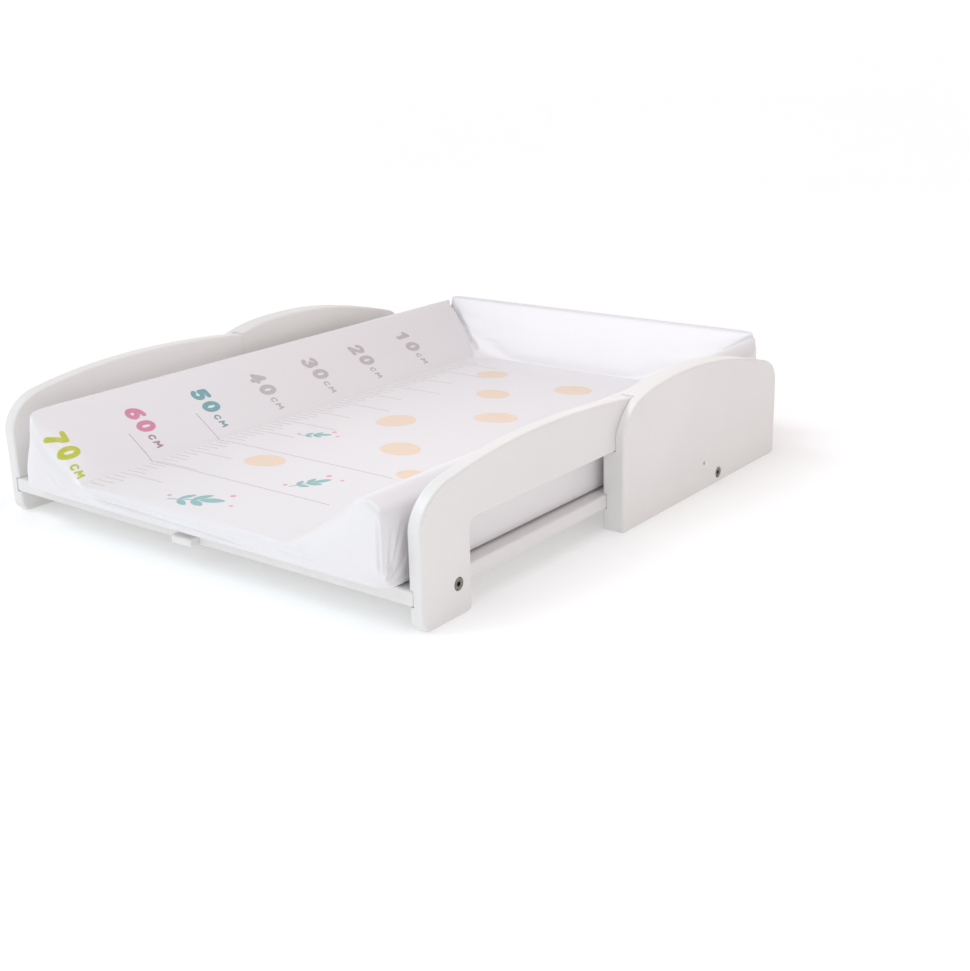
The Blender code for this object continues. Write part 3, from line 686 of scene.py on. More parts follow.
def build_mat():
    S, N, M = len(WALL) + len(CREST) + len(DROP), len(ALONG), len(ACROSS)
    verts, index = [], {}

    def add(key, p):
        if key not in index:
            index[key] = len(verts)
            verts.append(tuple(p))
        return index[key]

    # the three walls as one strip: s runs from the fold out and down, c along the U
    cols = [side_column(-1, t) for t in ALONG] + [back_column(a) for a in ACROSS[1:-1]] + [side_column(1, t) for t in ALONG[::-1]]
    C = len(cols)
    strip = [[add(("w", c, s), cols[c][s]) for s in range(S)] for c in range(C)]
    faces = []
    for c in range(C - 1):
        for s in range(S - 1):
            faces.append((strip[c][s], strip[c][s + 1], strip[c + 1][s + 1], strip[c + 1][s]))

    def floor(i, j):
        if i == 0:
            return strip[j][0]
        if i == M - 1:
            return strip[C - 1 - j][0]
        if j == N - 1:
            return strip[N - 1 + i][0]
        return add(("f", i, j), (FOLD * ACROSS[i], Y_FRONT + (Y_FOLD - Y_FRONT) * ALONG[j], FLOOR_Z))

    for i in range(M - 1):
        for j in range(N - 1):
            faces.append((floor(i, j), floor(i, j + 1), floor(i + 1, j + 1), floor(i + 1, j)))

    # front face: columns under the section's upper edge, rows as on the outer sides
    top_s = len(WALL) + len(CREST) - 1
    rows = len(DROP)
    edge = [strip[0][s] for s in range(top_s, -1, -1)] + [floor(i, 0) for i in range(1, M - 1)] + [strip[C - 1][s] for s in range(0, top_s + 1)]
    K = len(edge)

    def fronts(k, r):
        if r == 0:
            return edge[k]
        if k == 0:
            return strip[0][top_s + r]
        if k == K - 1:
            return strip[C - 1][top_s + r]
        x, y, z = verts[edge[k]]
        return add(("v", k, r), (x, y, z + (Z0 - z) * DROP[r - 1]))

    for k in range(K - 1):
        for r in range(rows):
            faces.append((fronts(k, r), fronts(k + 1, r), fronts(k + 1, r + 1), fronts(k, r + 1)))

    p = np.array(verts, float)
    for _ in range(16):
        d = distance(p)
        g = gradient(p)
        p -= (d / np.maximum((g * g).sum(1), 0.3))[:, None] * g * 0.85

    # underside: one ring inside the rim, then a flat field
    rim = [fronts(k, rows) for k in range(K)] + [strip[c][S - 1] for c in range(C - 2, 0, -1)]
    inner = p[rim].copy()
    inner[:, 2] = Z0 + 12
    n = gradient(inner, outline_at)
    n[:, 2] = 0
    n /= np.linalg.norm(n, axis=1)[:, None]
    inner -= n * (12 + outline_at(inner))[:, None]
    inner[:, 2] = Z0
    first = len(p)
    p = np.vstack([p, inner])
    ring = list(range(first, first + len(rim)))
    for k in range(len(rim)):
        k2 = (k + 1) % len(rim)
        faces.append((rim[k], rim[k2], ring[k2], ring[k]))
    groups = {
        "fold": [strip[c][0] for c in range(C)],
        "mitre": [strip[c][s] for c in (N - 1, N + M - 2) for s in range(S)],
        "rim": rim + ring,
        "low": [strip[c][s] for c in range(C) for s in range(S - 3, S)] + [fronts(k, r) for k in range(K) for r in (rows - 2, rows - 1, rows)],
        "edge": [strip[c][top_s] for c in range(C)],
    }
    return p, faces, ring, groups


def corner_warp(p):
    """In the back corners the film spans the foam a little ahead of it."""
    ax, y, z = np.abs(p[:, 0]), p[:, 1], p[:, 2]
    t = np.clip((z - FLOOR_Z) / 70.0, 0, 1)
    x_m, y_m = FOLD + (MITRE_X - FOLD) * t, Y_FOLD + (MITRE_Y - Y_FOLD) * t
    reach = 12 + 80 * (1 - t) ** 2
    push = 0.09 * reach / 0.741 * (1 - t) ** 1.5
    mask = 1 - step(np.maximum(ax - x_m, y - y_m), 1, 6)
    mask = mask * (z > FLOOR_Z - 3)
    p[:, 1] -= push * (1 - np.clip((x_m - ax) / reach, 0, 1)) ** 2 * (1 - np.clip((y_m - y) / 40, 0, 1)) ** 2 * mask
    return p


def mat_mesh():
    p, faces, under, groups = build_mat()
    p = corner_warp(p)
    ob = mesh_object("changing_mat", p * MM, faces)
    bm = bmesh.new()
    bm.from_mesh(ob.data)
    bm.verts.ensure_lookup_table()
    f = bm.faces.new([bm.verts[i] for i in under])
    bmesh.ops.triangulate(bm, faces=[f])
    bmesh.ops.recalc_face_normals(bm, faces=bm.faces[:])
    bm.to_mesh(ob.data)
    bm.free()
    return ob, p, groups


mat, rest, groups = mat_mesh()
print("mat", len(mat.data.vertices), "verts", len(mat.data.polygons), "faces")


def simulate(ob, groups, frames=16):
    """Blow the film out over the foam: pinned where it is welded, and held back
    elsewhere by how far the foam lets it go."""
    start = np.array([v.co for v in ob.data.vertices], float)
    pins = ob.vertex_groups.new(name="welds")
    pins.add(sorted(set(groups["rim"] + groups["low"] + groups["fold"])), 1.0, 'REPLACE')
    pins.add(sorted(set(groups["mitre"])), 1.0, 'REPLACE')
    cl = ob.modifiers.new("film", 'CLOTH')
    st = cl.settings
    st.quality = 5
    st.mass = 0.25
    st.air_damping = 2.0
    st.tension_stiffness = st.compression_stiffness = 18.0
    st.shear_stiffness = 8.0
    st.bending_stiffness = 1.0
    st.tension_damping = st.compression_damping = 5.0
    st.vertex_group_mass = "welds"
    st.use_pressure = True
    st.uniform_pressure_force = 1.6
    st.effector_weights.gravity = 0.0
    cl.collision_settings.use_collision = False
    cl.collision_settings.use_self_collision = False
    cl.point_cache.frame_start, cl.point_cache.frame_end = 1, frames + 1
    scene = bpy.context.scene
    for f in range(1, frames + 1):
        scene.frame_set(f)
    dg = bpy.context.evaluated_depsgraph_get()
    end = np.array([v.co for v in ob.evaluated_get(dg).data.vertices], float)
    ob.modifiers.clear()
    scene.frame_set(1)
    move = end - start
    far = np.linalg.norm(move, axis=1)
    print("film moved: mean %.2f mm, most %.2f mm" % (far.mean() / MM, far.max() / MM))
    q = start / MM
    ax, y, z = np.abs(q[:, 0]), q[:, 1], q[:, 2]
    inside = (1 - step(ax, 232, 254)) * (1 - step(y, 722, 745)) * step(y, Y_FRONT + 2, Y_FRONT + 40)
    limit = (0.9 + inside * (1.5 + 0.6 * (1 - step(ax, 130, 170)))) * MM
    move *= (np.where(far > 1e-9, limit * np.tanh(far / limit) / np.maximum(far, 1e-9), 0))[:, None]
    ob.data.vertices.foreach_set("co", (start + move).astype(np.float32).ravel())
    ob.data.update()


simulate(mat, groups)
sub = mat.modifiers.new("fine", 'SUBSURF')
sub.levels = sub.render_levels = 1
sub.boundary_smooth = 'ALL'
settle(mat)


def mesh_points(ob):
    co = np.zeros(len(ob.data.vertices) * 3)
    ob.data.vertices.foreach_get("co", co)
    n = np.zeros(len(ob.data.vertices) * 3)
    ob.data.vertices.foreach_get("normal", n)
    return co.reshape(-1, 3), n.reshape(-1, 3)


def crease(q, n, line, half, depth, ends=(10.0, 10.0), lip=0.22):
    """Press a soft valley with raised lips into the film along a line."""
    line = np.asarray(line, float)
    near = np.where(((q > line.min(0) - 4 * half) & (q < line.max(0) + 4 * half)).all(1))[0]
    best, at, run = np.full(len(near), 1e9), np.zeros(len(near)), 0.0
    for a, b in zip(line, line[1:]):
        length = np.linalg.norm(b - a)
        t = np.clip(((q[near] - a) @ (b - a)) / length ** 2, 0, 1)
        d = np.linalg.norm(q[near] - (a + t[:, None] * (b - a)), axis=1)
        at = np.where(d < best, run + t * length, at)
        best = np.minimum(best, d)
        run += length
    fade = step(at / ends[0], 0, 1) * step((run - at) / ends[1], 0, 1)
    x = best / half
    valley = -np.where(x < 1, (1 - x * x) ** 2, 0)
    lips = lip * np.where((x > 0.7) & (x < 3), np.sin(math.pi * np.clip((x - 0.7) / 2.3, 0, 1)) ** 2, 0)
    q[near] += n[near] * (depth * fade * (valley + lips))[:, None]


q, n = mesh_points(mat)
q = q / MM

# the gap between side and back wedge: a groove in the corner that opens into a notch
ax, y, z = np.abs(q[:, 0]), q[:, 1], q[:, 2]
off_signed = ((ax - FOLD) * (MITRE_Y - Y_FOLD) - (y - Y_FOLD) * (MITRE_X - FOLD)) / math.hypot(MITRE_X - FOLD, MITRE_Y - Y_FOLD)
rise = np.clip((z - FLOOR_Z) / 70.0, 0, 1)
left_gap = (q[:, 0] < 0)                                       # the left one gapes and puckers
off_left = np.abs(off_signed + 0.8 * np.sin((ax - FOLD) / 6.0) * np.sin((ax - FOLD) / 17.0))
off = np.where(left_gap, off_left, np.abs(off_signed))
half_w = np.where(left_gap, 1.7 + 0.9 * rise, 0.8 + 1.9 * rise)
inner = (ax > FOLD + 4) & (y > Y_FOLD - 12) & (z > FLOOR_Z + 2) & (n[:, 2] > 0.1)
floor_of = np.where(left_gap, 8.0 - 2.5 * rise, 1.4 + 3.4 * rise ** 1.5)
depth = floor_of * np.clip(1 - off / half_w, 0, 1) ** 0.8 * inner * step(ax, FOLD, FOLD + 14)
q -= n * depth[:, None]
notch = 17.0 * np.clip(1 - off / 3.2, 0, 1) ** 0.8 * step(q[:, 2], 94, 135)
q[:, 2] -= notch * (ax > FOLD + 50) * (y > Y_FOLD + 20)

# long slack folds of the film on the pad's front edge
FRONT_LINE_A = [(x, Y_FRONT + 0.4, 59.2 + 1.2 * (x + 150) / 290) for x in (-150, -90, -30, 40, 100, 142)]
FRONT_LINE_B = [(x, Y_FRONT, 54.8 - 5.4 * ((x + 150) / 290) ** 1.3) for x in (-150, -95, -40, 20, 75, 130)]
FRONT_LINE_C = [(x, Y_FRONT + 1.2, 47.6 - 0.8 * (x + 150) / 290) for x in (-140, -80, -20, 40, 100)]
crease(q, n, FRONT_LINE_A, 1.5, 1.35, (25, 25), 0.4)
crease(q, n, FRONT_LINE_B, 1.6, 1.5, (30, 60), 0.4)
crease(q, n, FRONT_LINE_C, 1.5, 0.9, (40, 50), 0.35)
crease(q, n, [(-212, Y_FRONT + 2, 74), (-196, Y_FRONT, 60), (-168, Y_FRONT, 52.5), (-128, Y_FRONT, 50.5)], 2.2, 0.9, (18, 24))
crease(q, n, [(140, Y_FRONT, 58), (163, Y_FRONT, 54), (190, Y_FRONT, 55.5), (214, Y_FRONT, 61)], 2.2, 0.9, (14, 18))
crease(q, n, [(168, Y_FRONT, 66), (184, Y_FRONT, 61.5), (205, Y_FRONT, 60)], 2.2, 0.7, (8, 10))
# the crisp fold beside the right front corner, and the pleats gathered under it
crease(q, n, [(276.6, Y_FRONT, 114.5), (276.8, Y_FRONT, 88), (276.2, Y_FRONT, 60)], 1.6, 1.25, (10, 8), 0.45)
crease(q, n, [(281, -18, 51), (281, -15.5, 60), (281, -13.5, 68.5)], 1.5, 2.9, (3, 5), 0.6)
crease(q, n, [(281, -17, 53), (281, -13, 70), (281, -10.0, 88), (281, -8, 104)], 2.2, 1.4, (5, 12), 0.45)
crease(q, n, [(281, -16, 54), (281, -5, 78), (281, 4, 99), (281, 8, 110)], 2.4, 1.5, (6, 12), 0.45)
crease(q, n, [(281, -14.5, 50), (281, 2, 64), (281, 14, 84)], 2.4, 1.2, (5, 14), 0.4)
crease(q, n, [(281, -15, 49), (281, 4, 53), (281, 26, 57)], 2.3, 1.1, (5, 12), 0.35)
crease(q, n, [(279, Y_FRONT, 52), (268, Y_FRONT, 57), (246, Y_FRONT, 64), (228, Y_FRONT, 68)], 2.4, 0.8, (5, 16), 0.3)
crease(q, n, [(279, Y_FRONT, 49.5), (262, Y_FRONT, 51), (236, Y_FRONT, 50)], 2.2, 0.8, (6, 18), 0.3)
# slack near the outer corners of the slopes
crease(q, n, [(-250, 30, 127.0), (-222, 10, 107.8), (-200, -8, 92.8)], 3.4, 0.7, (16, 16), 0.3)
crease(q, n, [(-246, 600, 124.3), (-215, 640, 103.0), (-186, 668, 83.2)], 3.6, 0.8, (22, 18), 0.3)
crease(q, n, [(246, 610, 124.3), (212, 646, 101.0), (182, 672, 80.4)], 3.6, 0.8, (22, 18), 0.3)
crease(q, n, [(-206, 702, 79.5), (-150, 706, 83.9), (-96, 705, 82.8)], 3.2, 0.6, (20, 30), 0.3)
crease(q, n, [(110, 716, 94.9), (160, 712, 90.5), (204, 719, 98.2)], 3.0, 0.5, (22, 22), 0.3)
# welded folds between the compartments
for sign in (1, -1):
    crease(q, n, [(sign * FOLD, yy, FLOOR_Z) for yy in (Y_FRONT + 8, 200, 450, Y_FOLD - 16)], 1.7, 0.45, (12, 16), 0.0)
crease(q, n, [(xx, Y_FOLD, FLOOR_Z) for xx in (-FOLD + 60, 0, FOLD - 60)], 1.7, 0.45, (26, 26), 0.0)

q[:, 0] += MAT_X
mat.data.vertices.foreach_set("co", to_frame(q).astype(np.float32).ravel())
mat.data.update()
mat.data.shade_smooth()
stands_for(mat, "mat", "coated_film", FILM, *[k for k in NODES if k.startswith("mat_")])
mat.data.materials.append(FILM_BACK)
for poly in mat.data.polygons:
    if poly.normal.z < -0.75 and poly.center.z < (Z0 + 1.0) * MM:
        poly.material_index = 1

# ------------------------------------------------------------------ the mat: welds and vents, greyed with painted shade
co, _ = mesh_points(mat)
skin = BVHTree.FromPolygons([tuple(v) for v in co], [tuple(p.vertices) for p in mat.data.polygons])


def weld_bead_painted_shade(name, ids, radius=0.65, lift=0.15, sides=8):
    """Thin bead of melted film along a row of the mat's own points; its dark grey is painted shade."""
    path = []
    pts = [Vector(co[i]) for i in ids]
    for a, b in zip(pts, pts[1:]):
        steps = max(1, int((b - a).length / (3.2 * MM)))
        path += [a.lerp(b, k / steps) for k in range(steps)]
    path.append(pts[-1])
    snapped = []
    for v in path:
        place, normal, _, _ = skin.find_nearest(v)
        snapped.append((place + normal * lift * MM, normal))
    verts, faces = [], []
    for k, (c, normal) in enumerate(snapped):
        tangent = (snapped[min(k + 1, len(snapped) - 1)][0] - snapped[max(k - 1, 0)][0]).normalized()
        across = tangent.cross(normal).normalized()
        up = across.cross(tangent).normalized()
        r = radius * MM * (1.0 + 0.12 * math.sin(k * 1.7) * math.sin(k * 0.41))
        r *= 0.3 + 0.7 * min(1.0, min(k, len(snapped) - 1 - k) / 10)
        for s in range(sides):
            a = 2 * math.pi * s / sides
            verts.append(c + across * r * 1.25 * math.cos(a) + up * r * math.sin(a))
    for k in range(len(snapped) - 1):
        for s in range(sides):
            s2 = (s + 1) % sides
            faces.append((k * sides + s, k * sides + s2, (k + 1) * sides + s2, (k + 1) * sides + s))
    faces.append(tuple(range(sides - 1, -1, -1)))
    last = (len(snapped) - 1) * sides
    faces.append(tuple(range(last, last + sides)))
    ob = mesh_object(name, verts, faces)
    bm = bmesh.new()
    bm.from_mesh(ob.data)
    bmesh.ops.recalc_face_normals(bm, faces=bm.faces[:])
    bm.to_mesh(ob.data)
    bm.free()
    ob.data.shade_smooth()
    return stands_for(ob, "mat", "coated_film", WELD_SHADE_GREY)


edge_ids = groups["edge"]
cut_a, cut_b = len(ALONG) - 1, len(ALONG) + len(ACROSS) - 3
# the back's top edge gets a dark grey bead as painted shade
weld_bead_painted_shade("weld_back_painted_shade", edge_ids[cut_a + 5:cut_b - 4], 0.55, 0.12)

for k, (vx, vy) in enumerate(((-110, 60), (110, 600), (-220, 120), (-220, 560), (220, 120), (220, 560), (-90, 712), (90, 712))):
    ring_part = turned_mm("vent_ring_%d" % k, [(3.2, 0.0), (3.5, -0.05), (5.2, -0.05), (5.5, 0.05), (5.5, 0.25), (3.2, 0.25)],
                          (MAT_X + vx, vy, Z0 - 0.2), (0, 0, -1), 40)
    even_normals(ring_part, 50)
    stands_for(ring_part, "mat", "coated_film", FILM_BACK)
    # the screen's dark grey is partly painted shade of the vent hole
    screen = turned_mm("vent_screen_%d" % k, [(0, 0.03), (1.6, 0.03), (3.15, 0.06), (3.15, 0.2), (0, 0.2)],
                       (MAT_X + vx, vy, Z0 - 0.15), (0, 0, -1), 32)
    even_normals(screen, 50)
    stands_for(screen, "mat", "coated_film", VENT_MESH_AND_SHADE)

# ------------------------------------------------------------------ the mat: print
# Generic ruler: rounded numerals, lines and ticks, with plain spots and leaves.
# A print is a shell a few tenths thick that follows the film; its outline is the
# zero line of a distance in the plane of the wall or floor that carries it.
SLOPE_LEN = math.hypot(RIDGE - FOLD, RIDGE_Z - FLOOR_Z)
DOWN = np.array([(RIDGE - FOLD) / SLOPE_LEN, 0, (FLOOR_Z - RIDGE_Z) / SLOPE_LEN])


def on_wall(u, v):
    """u mm down the left wall from its ridge, v mm back from the board's front edge."""
    return np.array([-RIDGE, v, RIDGE_Z]) + u * DOWN, np.array([-DOWN[2], 0, DOWN[0]])


def on_floor(u, v):
    return np.array([u, v, FLOOR_Z]), np.array([0.0, 0.0, 1.0])


def cells(field, u0, u1, v0, v1, h):
    """Faces of the region where field < 0, cut at its zero line."""
    nu, nv = int(math.ceil((u1 - u0) / h)), int(math.ceil((v1 - v0) / h))
    us, vs = u0 + h * np.arange(nu + 1), v0 + h * np.arange(nv + 1)
    f = field(*np.meshgrid(us, vs, indexing="ij"))
    f = np.where(np.abs(f) < 0.12 * h, np.where(f < 0, -0.12 * h, 0.12 * h), f)
    pts, faces, index = [], [], {}

    def put(key, u, v):
        if key not in index:
            index[key] = len(pts)
            pts.append((u, v))
        return index[key]

    for i in range(nu):
        for j in range(nv):
            corners = [(i, j), (i + 1, j), (i + 1, j + 1), (i, j + 1)]
            if all(f[c] >= 0 for c in corners):
                continue
            loop = []
            for a, b in zip(corners, corners[1:] + corners[:1]):
                if f[a] < 0:
                    loop.append(put(("c", a), us[a[0]], vs[a[1]]))
                if (f[a] < 0) != (f[b] < 0):
                    t = f[a] / (f[a] - f[b])
                    key = ("e", min(a, b), max(a, b))
                    loop.append(put(key, us[a[0]] + t * (us[b[0]] - us[a[0]]), vs[a[1]] + t * (vs[b[1]] - vs[a[1]])))
            faces.append(tuple(loop))
    return pts, faces


def ribbon(path, width, pace=3.0):
    """Faces of a straight or bent line of even width."""
    fine = []
    for a, b in zip(path, path[1:]):
        k = max(1, int(math.dist(a, b) / pace))
        fine += [(a[0] + (b[0] - a[0]) * i / k, a[1] + (b[1] - a[1]) * i / k) for i in range(k)]
    fine.append(path[-1])
    pts, faces = [], []
    for k, (u, v) in enumerate(fine):
        a, b = fine[max(k - 1, 0)], fine[min(k + 1, len(fine) - 1)]
        d = math.dist(a, b)
        nx, ny = -(b[1] - a[1]) / d * width / 2, (b[0] - a[0]) / d * width / 2
        pts += [(u + nx, v + ny), (u - nx, v - ny)]
    for k in range(len(fine) - 1):
        faces.append((2 * k + 1, 2 * k + 3, 2 * k + 2, 2 * k))
    return pts, faces


def printed(name, material, pieces, proud=0.13):
    """pieces: list of (carrier, points, faces)."""
    verts, faces = [], []
    for carrier, pts, flat in pieces:
        if not flat:
            continue
        place = []
        for u, v in pts:
            at, up = carrier(u, v)
            at = at + (MAT_X, 0, 0)
            start = Vector(to_frame(at + up * 12)[0])
            hit, normal, _, _ = skin.ray_cast(start, Vector(-up), 0.03)
            if hit is None:
                hit = Vector(to_frame(at)[0])
            place.append((hit, Vector(up)))
        base_i = len(verts)
        verts += [h + n_ * proud * MM for h, n_ in place] + [h - n_ * 0.17 * MM for h, n_ in place]
        k = len(pts)
        seen = {}
        for f in flat:
            faces.append(tuple(base_i + i for i in f))
            faces.append(tuple(base_i + k + i for i in reversed(f)))
            for a, b in zip(f, f[1:] + f[:1]):
                seen[(a, b)] = True
        for a, b in seen:
            if (b, a) not in seen:
                faces.append((base_i + b, base_i + a, base_i + k + a, base_i + k + b))
    ob = mesh_object(name, verts, faces)
    ob.data.shade_smooth()
    ob.data.set_sharp_from_angle(angle=math.radians(50))
    return stands_for(ob, "mat", "coated_film", material)


def ell(cx, cy, rx, ry, a0, a1, k=18):
    return [(cx + rx * math.cos(math.radians(a0 + (a1 - a0) * i / k)), cy + ry * math.sin(math.radians(a0 + (a1 - a0) * i / k)))
            for i in range(k + 1)]


# strokes of the numerals in a box 17 wide and 25 high
STROKES = {
    "0": [ell(8.5, 12.5, 5.5, 9.4, 0, 360, 28)],
    "1": [[(4.2, 18.2), (9.2, 22.0), (9.2, 3.0)]],
    "2": [ell(8.4, 16.7, 5.2, 5.3, 165, -35, 14) + [(3.2, 3.1), (14.0, 3.1)]],
    "3": [ell(7.8, 17.4, 5.2, 4.6, 150, -80, 12) + ell(7.8, 8.3, 5.9, 5.3, 80, -150, 14)],
    "4": [[(10.8, 3.0), (10.8, 22.0), (3.0, 9.2), (14.4, 9.2)]],
    "5": [[(13.4, 22.0), (4.6, 22.0), (4.0, 13.8)] + ell(8.0, 9.0, 5.8, 5.9, 125, -150, 16)],
    "6": [ell(8.5, 8.8, 5.6, 5.8, 0, 360, 24), bezier((2.9, 9.2), (2.9, 16.5), (7.0, 21.2), (13.0, 22.0), 12)],
    "7": [[(3.0, 22.0), (14.0, 22.0), (6.6, 3.0)]],
    "C": [ell(5.4, 6.0, 4.0, 4.6, 42, 318, 18)],
    "M": [[(1.4, 1.4), (2.6, 10.6), (6.6, 4.4), (10.6, 10.6), (11.8, 1.4)]],
}


def stroke_field(lines, radius, scale, middle, box_mid, turn_deg):
    segs = [(a, b) for line in lines for a, b in zip(line, line[1:])]
    c, s = math.cos(math.radians(turn_deg)), math.sin(math.radians(turn_deg))

    def field(u, v):
        du, dv = (u - middle[0]) / scale, (v - middle[1]) / scale
        u, v = du * c + dv * s + box_mid[0], dv * c - du * s + box_mid[1]
        best = np.full(u.shape, 1e9)
        for a, b in segs:
            dx, dy = b[0] - a[0], b[1] - a[1]
            t = np.clip(((u - a[0]) * dx + (v - a[1]) * dy) / max(dx * dx + dy * dy, 1e-9), 0, 1)
            best = np.minimum(best, np.hypot(u - a[0] - t * dx, v - a[1] - t * dy))
        return (best - radius) * scale
    return field


def glyph(char, middle, scale=1.0, turn_deg=0.0):
    """One character on the left wall, about the middle of its box."""
    letter = char in "CM"
    radius = 1.45 if letter else 3.3
    box_mid = {"C": (5.4, 6.0), "M": (6.6, 6.0)}.get(char, (8.5, 12.5))
    field = stroke_field(STROKES[char], radius, scale, middle, box_mid, turn_deg)
    reach = (9.5 if letter else 17.5) * scale
    return (on_wall,) + cells(field, middle[0] - reach, middle[0] + reach, middle[1] - reach, middle[1] + reach, 0.6 if letter else 0.9)


INKS = {
    "lime": ink("print_lime", (0.52, 0.54, 0.045)),
    "rose": ink("print_rose", (0.69, 0.25, 0.38)),
    "mauve": ink("print_mauve", (0.42, 0.27, 0.34)),
    "teal": ink("print_teal", (0.20, 0.40, 0.44)),
    "slate": ink("print_slate", (0.27, 0.38, 0.42)),
    "grey": ink("print_grey", (0.55, 0.51, 0.53)),
    "line": ink("print_line", (0.50, 0.41, 0.47)),
    "tick": ink("print_tick", (0.60, 0.57, 0.52)),
    "peach": ink("print_peach", (0.86, 0.67, 0.52), 0.97),
    "leaf": ink("print_leaf", (0.25, 0.50, 0.50)),
    "pink": ink("print_pink", (0.83, 0.38, 0.45)),
}
LABELS = (("60", 107.5, "rose", "mauve"), ("50", 208.0, "teal", "slate"), ("40", 303.0, "grey", "grey"),
          ("30", 399.0, "grey", "grey"), ("20", 490.0, "grey", "grey"), ("10", 587.0, "grey", "grey"))
# the foremost label slants with the film that is drawn in at that corner
by_ink = {"lime": [glyph("7", (50.5, -3.0), 1.0, -10.0), glyph("0", (73.5, -1.5), 1.0, -10.0),
                   glyph("C", (94.0, -8.0), 0.8, -12.0), glyph("M", (105.5, -9.5), 0.8, -12.0)]}
for text, v_mid, colour, unit_colour in LABELS:
    by_ink.setdefault(colour, []).extend([glyph(text[0], (48.5, v_mid)), glyph(text[1], (70.5, v_mid))])
    by_ink.setdefault(unit_colour, []).extend([glyph("C", (88.7, v_mid - 4.5), 0.8), glyph("M", (100.3, v_mid - 4.5), 0.8)])
for colour, pieces in by_ink.items():
    printed("numerals_" + colour, INKS[colour], pieces)

lines, ticks = [], []
for y_line, reach in ((79.8, 118.0), (180.9, 115.0)):
    lines.append((on_wall,) + ribbon([(0.61 * SLOPE_LEN, y_line), (SLOPE_LEN - 1.2, y_line)], 0.9))
    lines.append((on_floor,) + ribbon([(-FOLD + 1.2, y_line), (reach, y_line)], 0.8))
printed("ruler_lines", INKS["line"], lines)
for k in range(0, 66):
    y_tick = -8.0 + 10.0 * k + 1.5
    if min(abs(y_tick - 79.8), abs(y_tick - 180.9)) < 3:
        continue
    five = (k % 5 == 4)
    length = 70.0 if five else 22.0 + 8.0 * ((k * 7) % 3) / 2
    if k % 10 == 9 and k > 20:
        length = 90.0
    ticks.append((on_floor,) + ribbon([(-FOLD + 2.0, y_tick), (-FOLD + 2.0 + length, y_tick)], 1.15))
printed("ruler_ticks", INKS["tick"], ticks)


def ellipse_field(cx, cy, rx, ry, turn_deg=0.0, wobble=0.0):
    c, s = math.cos(math.radians(turn_deg)), math.sin(math.radians(turn_deg))

    def field(u, v):
        a, b = (u - cx) * c + (v - cy) * s, -(u - cx) * s + (v - cy) * c
        rad = np.hypot(a / rx, b / ry)
        edge_r = 1.0 + wobble * np.sin(3 * np.arctan2(b, a) + cx)
        return (rad - edge_r) * min(rx, ry)
    return field


def leaf_field(cx, cy, length, width, turn_deg):
    """Pointed leaf: where two circles overlap."""
    c, s = math.cos(math.radians(turn_deg)), math.sin(math.radians(turn_deg))
    big = (length ** 2 / 4 + width ** 2 / 4) / width
    shift = big - width / 2

    def field(u, v):
        a, b = (u - cx) * c + (v - cy) * s, -(u - cx) * s + (v - cy) * c
        return np.maximum(np.hypot(a, b - shift), np.hypot(a, b + shift)) - big
    return field


spots = []
for cx, cy, rx, ry, tilt in ((-48, 150, 25, 20, 10), (52, 268, 27, 22, -15), (-30, 355, 24, 26, 0), (66, 432, 28, 22, 20), (-6, 520, 24, 20, -10),
                             (72, 592, 26, 21, 5), (-70, 604, 22, 18, 15), (124, 202, 18, 15, 0)):
    big = max(rx, ry) + 4
    spots.append((on_floor,) + cells(ellipse_field(cx, cy, rx, ry, tilt, 0.02), cx - big, cx + big, cy - big, cy + big, 2.0))
printed("plain_spots", INKS["peach"], spots)

leaves, stems, dots = [], [], []
for cx, cy, heading, size in ((6.0, 22.0, 24.0, 1.15), (58.0, 132.0, 62.0, 0.85), (-62.0, 262.0, 35.0, 0.7)):
    h = math.radians(heading)
    along_d, side_d = (math.cos(h), math.sin(h)), (-math.sin(h), math.cos(h))
    for k, (a, b, swing, big) in enumerate(((0, 0, 0, 26), (-12, 7.5, 38, 20), (-12, -7.5, -38, 20), (-27, 7.0, 42, 17), (-27, -7.0, -42, 17))):
        px = cx + size * (a * along_d[0] + b * side_d[0])
        py = cy + size * (a * along_d[1] + b * side_d[1])
        big = big * size
        leaves.append((on_floor,) + cells(leaf_field(px, py, big, big * 0.42, heading + swing), px - big, px + big, py - big, py + big, 1.0))
    stems.append((on_floor,) + ribbon([(cx - size * 44 * along_d[0], cy - size * 44 * along_d[1]),
                                       (cx - size * 12 * along_d[0], cy - size * 12 * along_d[1])], 1.3 * size))
    for a, b, r in ((14, 15, 3.2), (23, -11, 2.4), (-46, 9, 2.6)):
        px = cx + size * (a * along_d[0] + b * side_d[0])
        py = cy + size * (a * along_d[1] + b * side_d[1])
        dots.append((on_floor,) + cells(ellipse_field(px, py, r, r), px - 5, px + 5, py - 5, py + 5, 0.8))
printed("plain_leaves", INKS["leaf"], leaves)
printed("leaf_stems", INKS["slate"], stems)
printed("plain_dots", INKS["pink"], dots)

# ------------------------------------------------------------------ stage and light
floor_me = box_mm("floor_sheet", (-120000, -120000 + MID_Y, -40), (120000, 120000 + MID_Y, 0))
m, nt, p = new_material("pale_floor")
nt.links.new(ramp(nt, noise_tex(nt, 0.7, 2.0), [(0.3, (0.89, 0.89, 0.89)), (0.7, (0.905, 0.905, 0.905))]), p.inputs["Base Color"])
p.inputs["Roughness"].default_value = 0.75
p.inputs["Specular IOR Level"].default_value = 0.2
# the sheet glows a little, more so away from the object, so that it burns out to white
p.inputs["Emission Color"].default_value = (1, 1, 1, 1)
flat_co = node(nt, "ShaderNodeTexCoord")
flat = node(nt, "ShaderNodeVectorMath", operation='MULTIPLY')
nt.links.new(flat_co.outputs["Object"], flat.inputs[0])
flat.inputs[1].default_value = (1, 1, 0)
radius_out = node(nt, "ShaderNodeVectorMath", operation='LENGTH')
nt.links.new(flat.outputs[0], radius_out.inputs[0])
nt.links.new(span(nt, radius_out.outputs["Value"], 0.23, 0.43, 0.42, 1.2), p.inputs["Emission Strength"])
dress(floor_me, m)

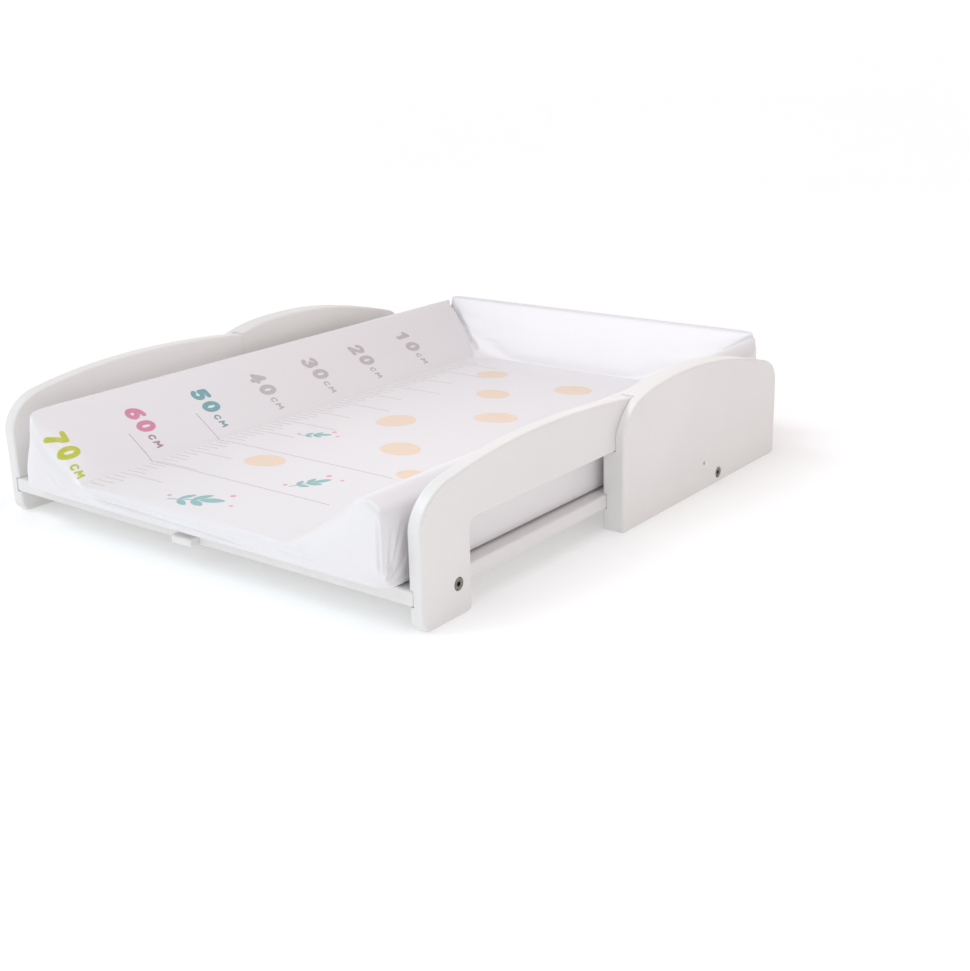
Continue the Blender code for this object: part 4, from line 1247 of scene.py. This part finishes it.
world = bpy.data.worlds.new("studio")
world.use_nodes = True
wn = world.node_tree
bg = wn.nodes["Background"]
co_w = wn.nodes.new("ShaderNodeTexCoord")
sep = wn.nodes.new("ShaderNodeSeparateXYZ")
wn.links.new(co_w.outputs["Generated"], sep.inputs["Vector"])
fx = span(wn, sep.outputs["X"], 0.0, 1.0, -0.9, 0.9)
fy = span(wn, sep.outputs["Y"], 0.0, 1.0, -0.9, 0.9)
fz = span(wn, sep.outputs["Z"], 1.0, 0.0, 0.05, 0.12)
high = span(wn, sep.outputs["Z"], 0.0, 1.0, 0.15, 0.95)
left_right = blend_colour(wn, fx, (1.19, 1.17, 1.15), (0.76, 0.62, 0.55))
front_back = blend_colour(wn, fy, (0.62, 0.73, 0.83), (0.85, 0.84, 0.84))
round_about = blend_colour(wn, 1.0, left_right, front_back, 'MULTIPLY')
sky = blend_colour(wn, high, round_about, (0.31, 0.28, 0.29))
wn.links.new(blend_colour(wn, fz, sky, (1.12, 1.12, 1.12)), bg.inputs["Color"])
bg.inputs["Strength"].default_value = 1.10
bpy.context.scene.world = world


def lamp(name, kind, at, aim, power, colour, **size):
    li = bpy.data.lights.new(name, kind)
    li.energy = power
    li.color = colour
    for key, value in size.items():
        setattr(li, key, value)
    ob = link(bpy.data.objects.new(name, li))
    ob.location = at
    ob.rotation_euler = (Vector(aim) - Vector(at)).to_track_quat('-Z', 'Y').to_euler()
    return ob


lamp("key_light", 'SUN', (-1.56, -0.93, 2.4), (0.0, 0.0, 0.0), 0.56, (0.985, 0.99, 1.0), angle=math.radians(24))
lamp("front_fill", 'AREA', (0.95, -0.75, 0.50), (0.28, -0.10, 0.08), 0.75, (0.66, 0.90, 1.0), size=0.7)
lamp("front_top", 'AREA', (-0.15, -0.95, 0.75), (0.0, -0.3, 0.05), 1.75, (0.80, 0.97, 1.0), size=0.6)
lamp("top_fill", 'AREA', (0.24, -0.05, 0.95), (0.0, 0.05, 0.08), 3.4, (1.0, 0.99, 1.0), size=0.7)
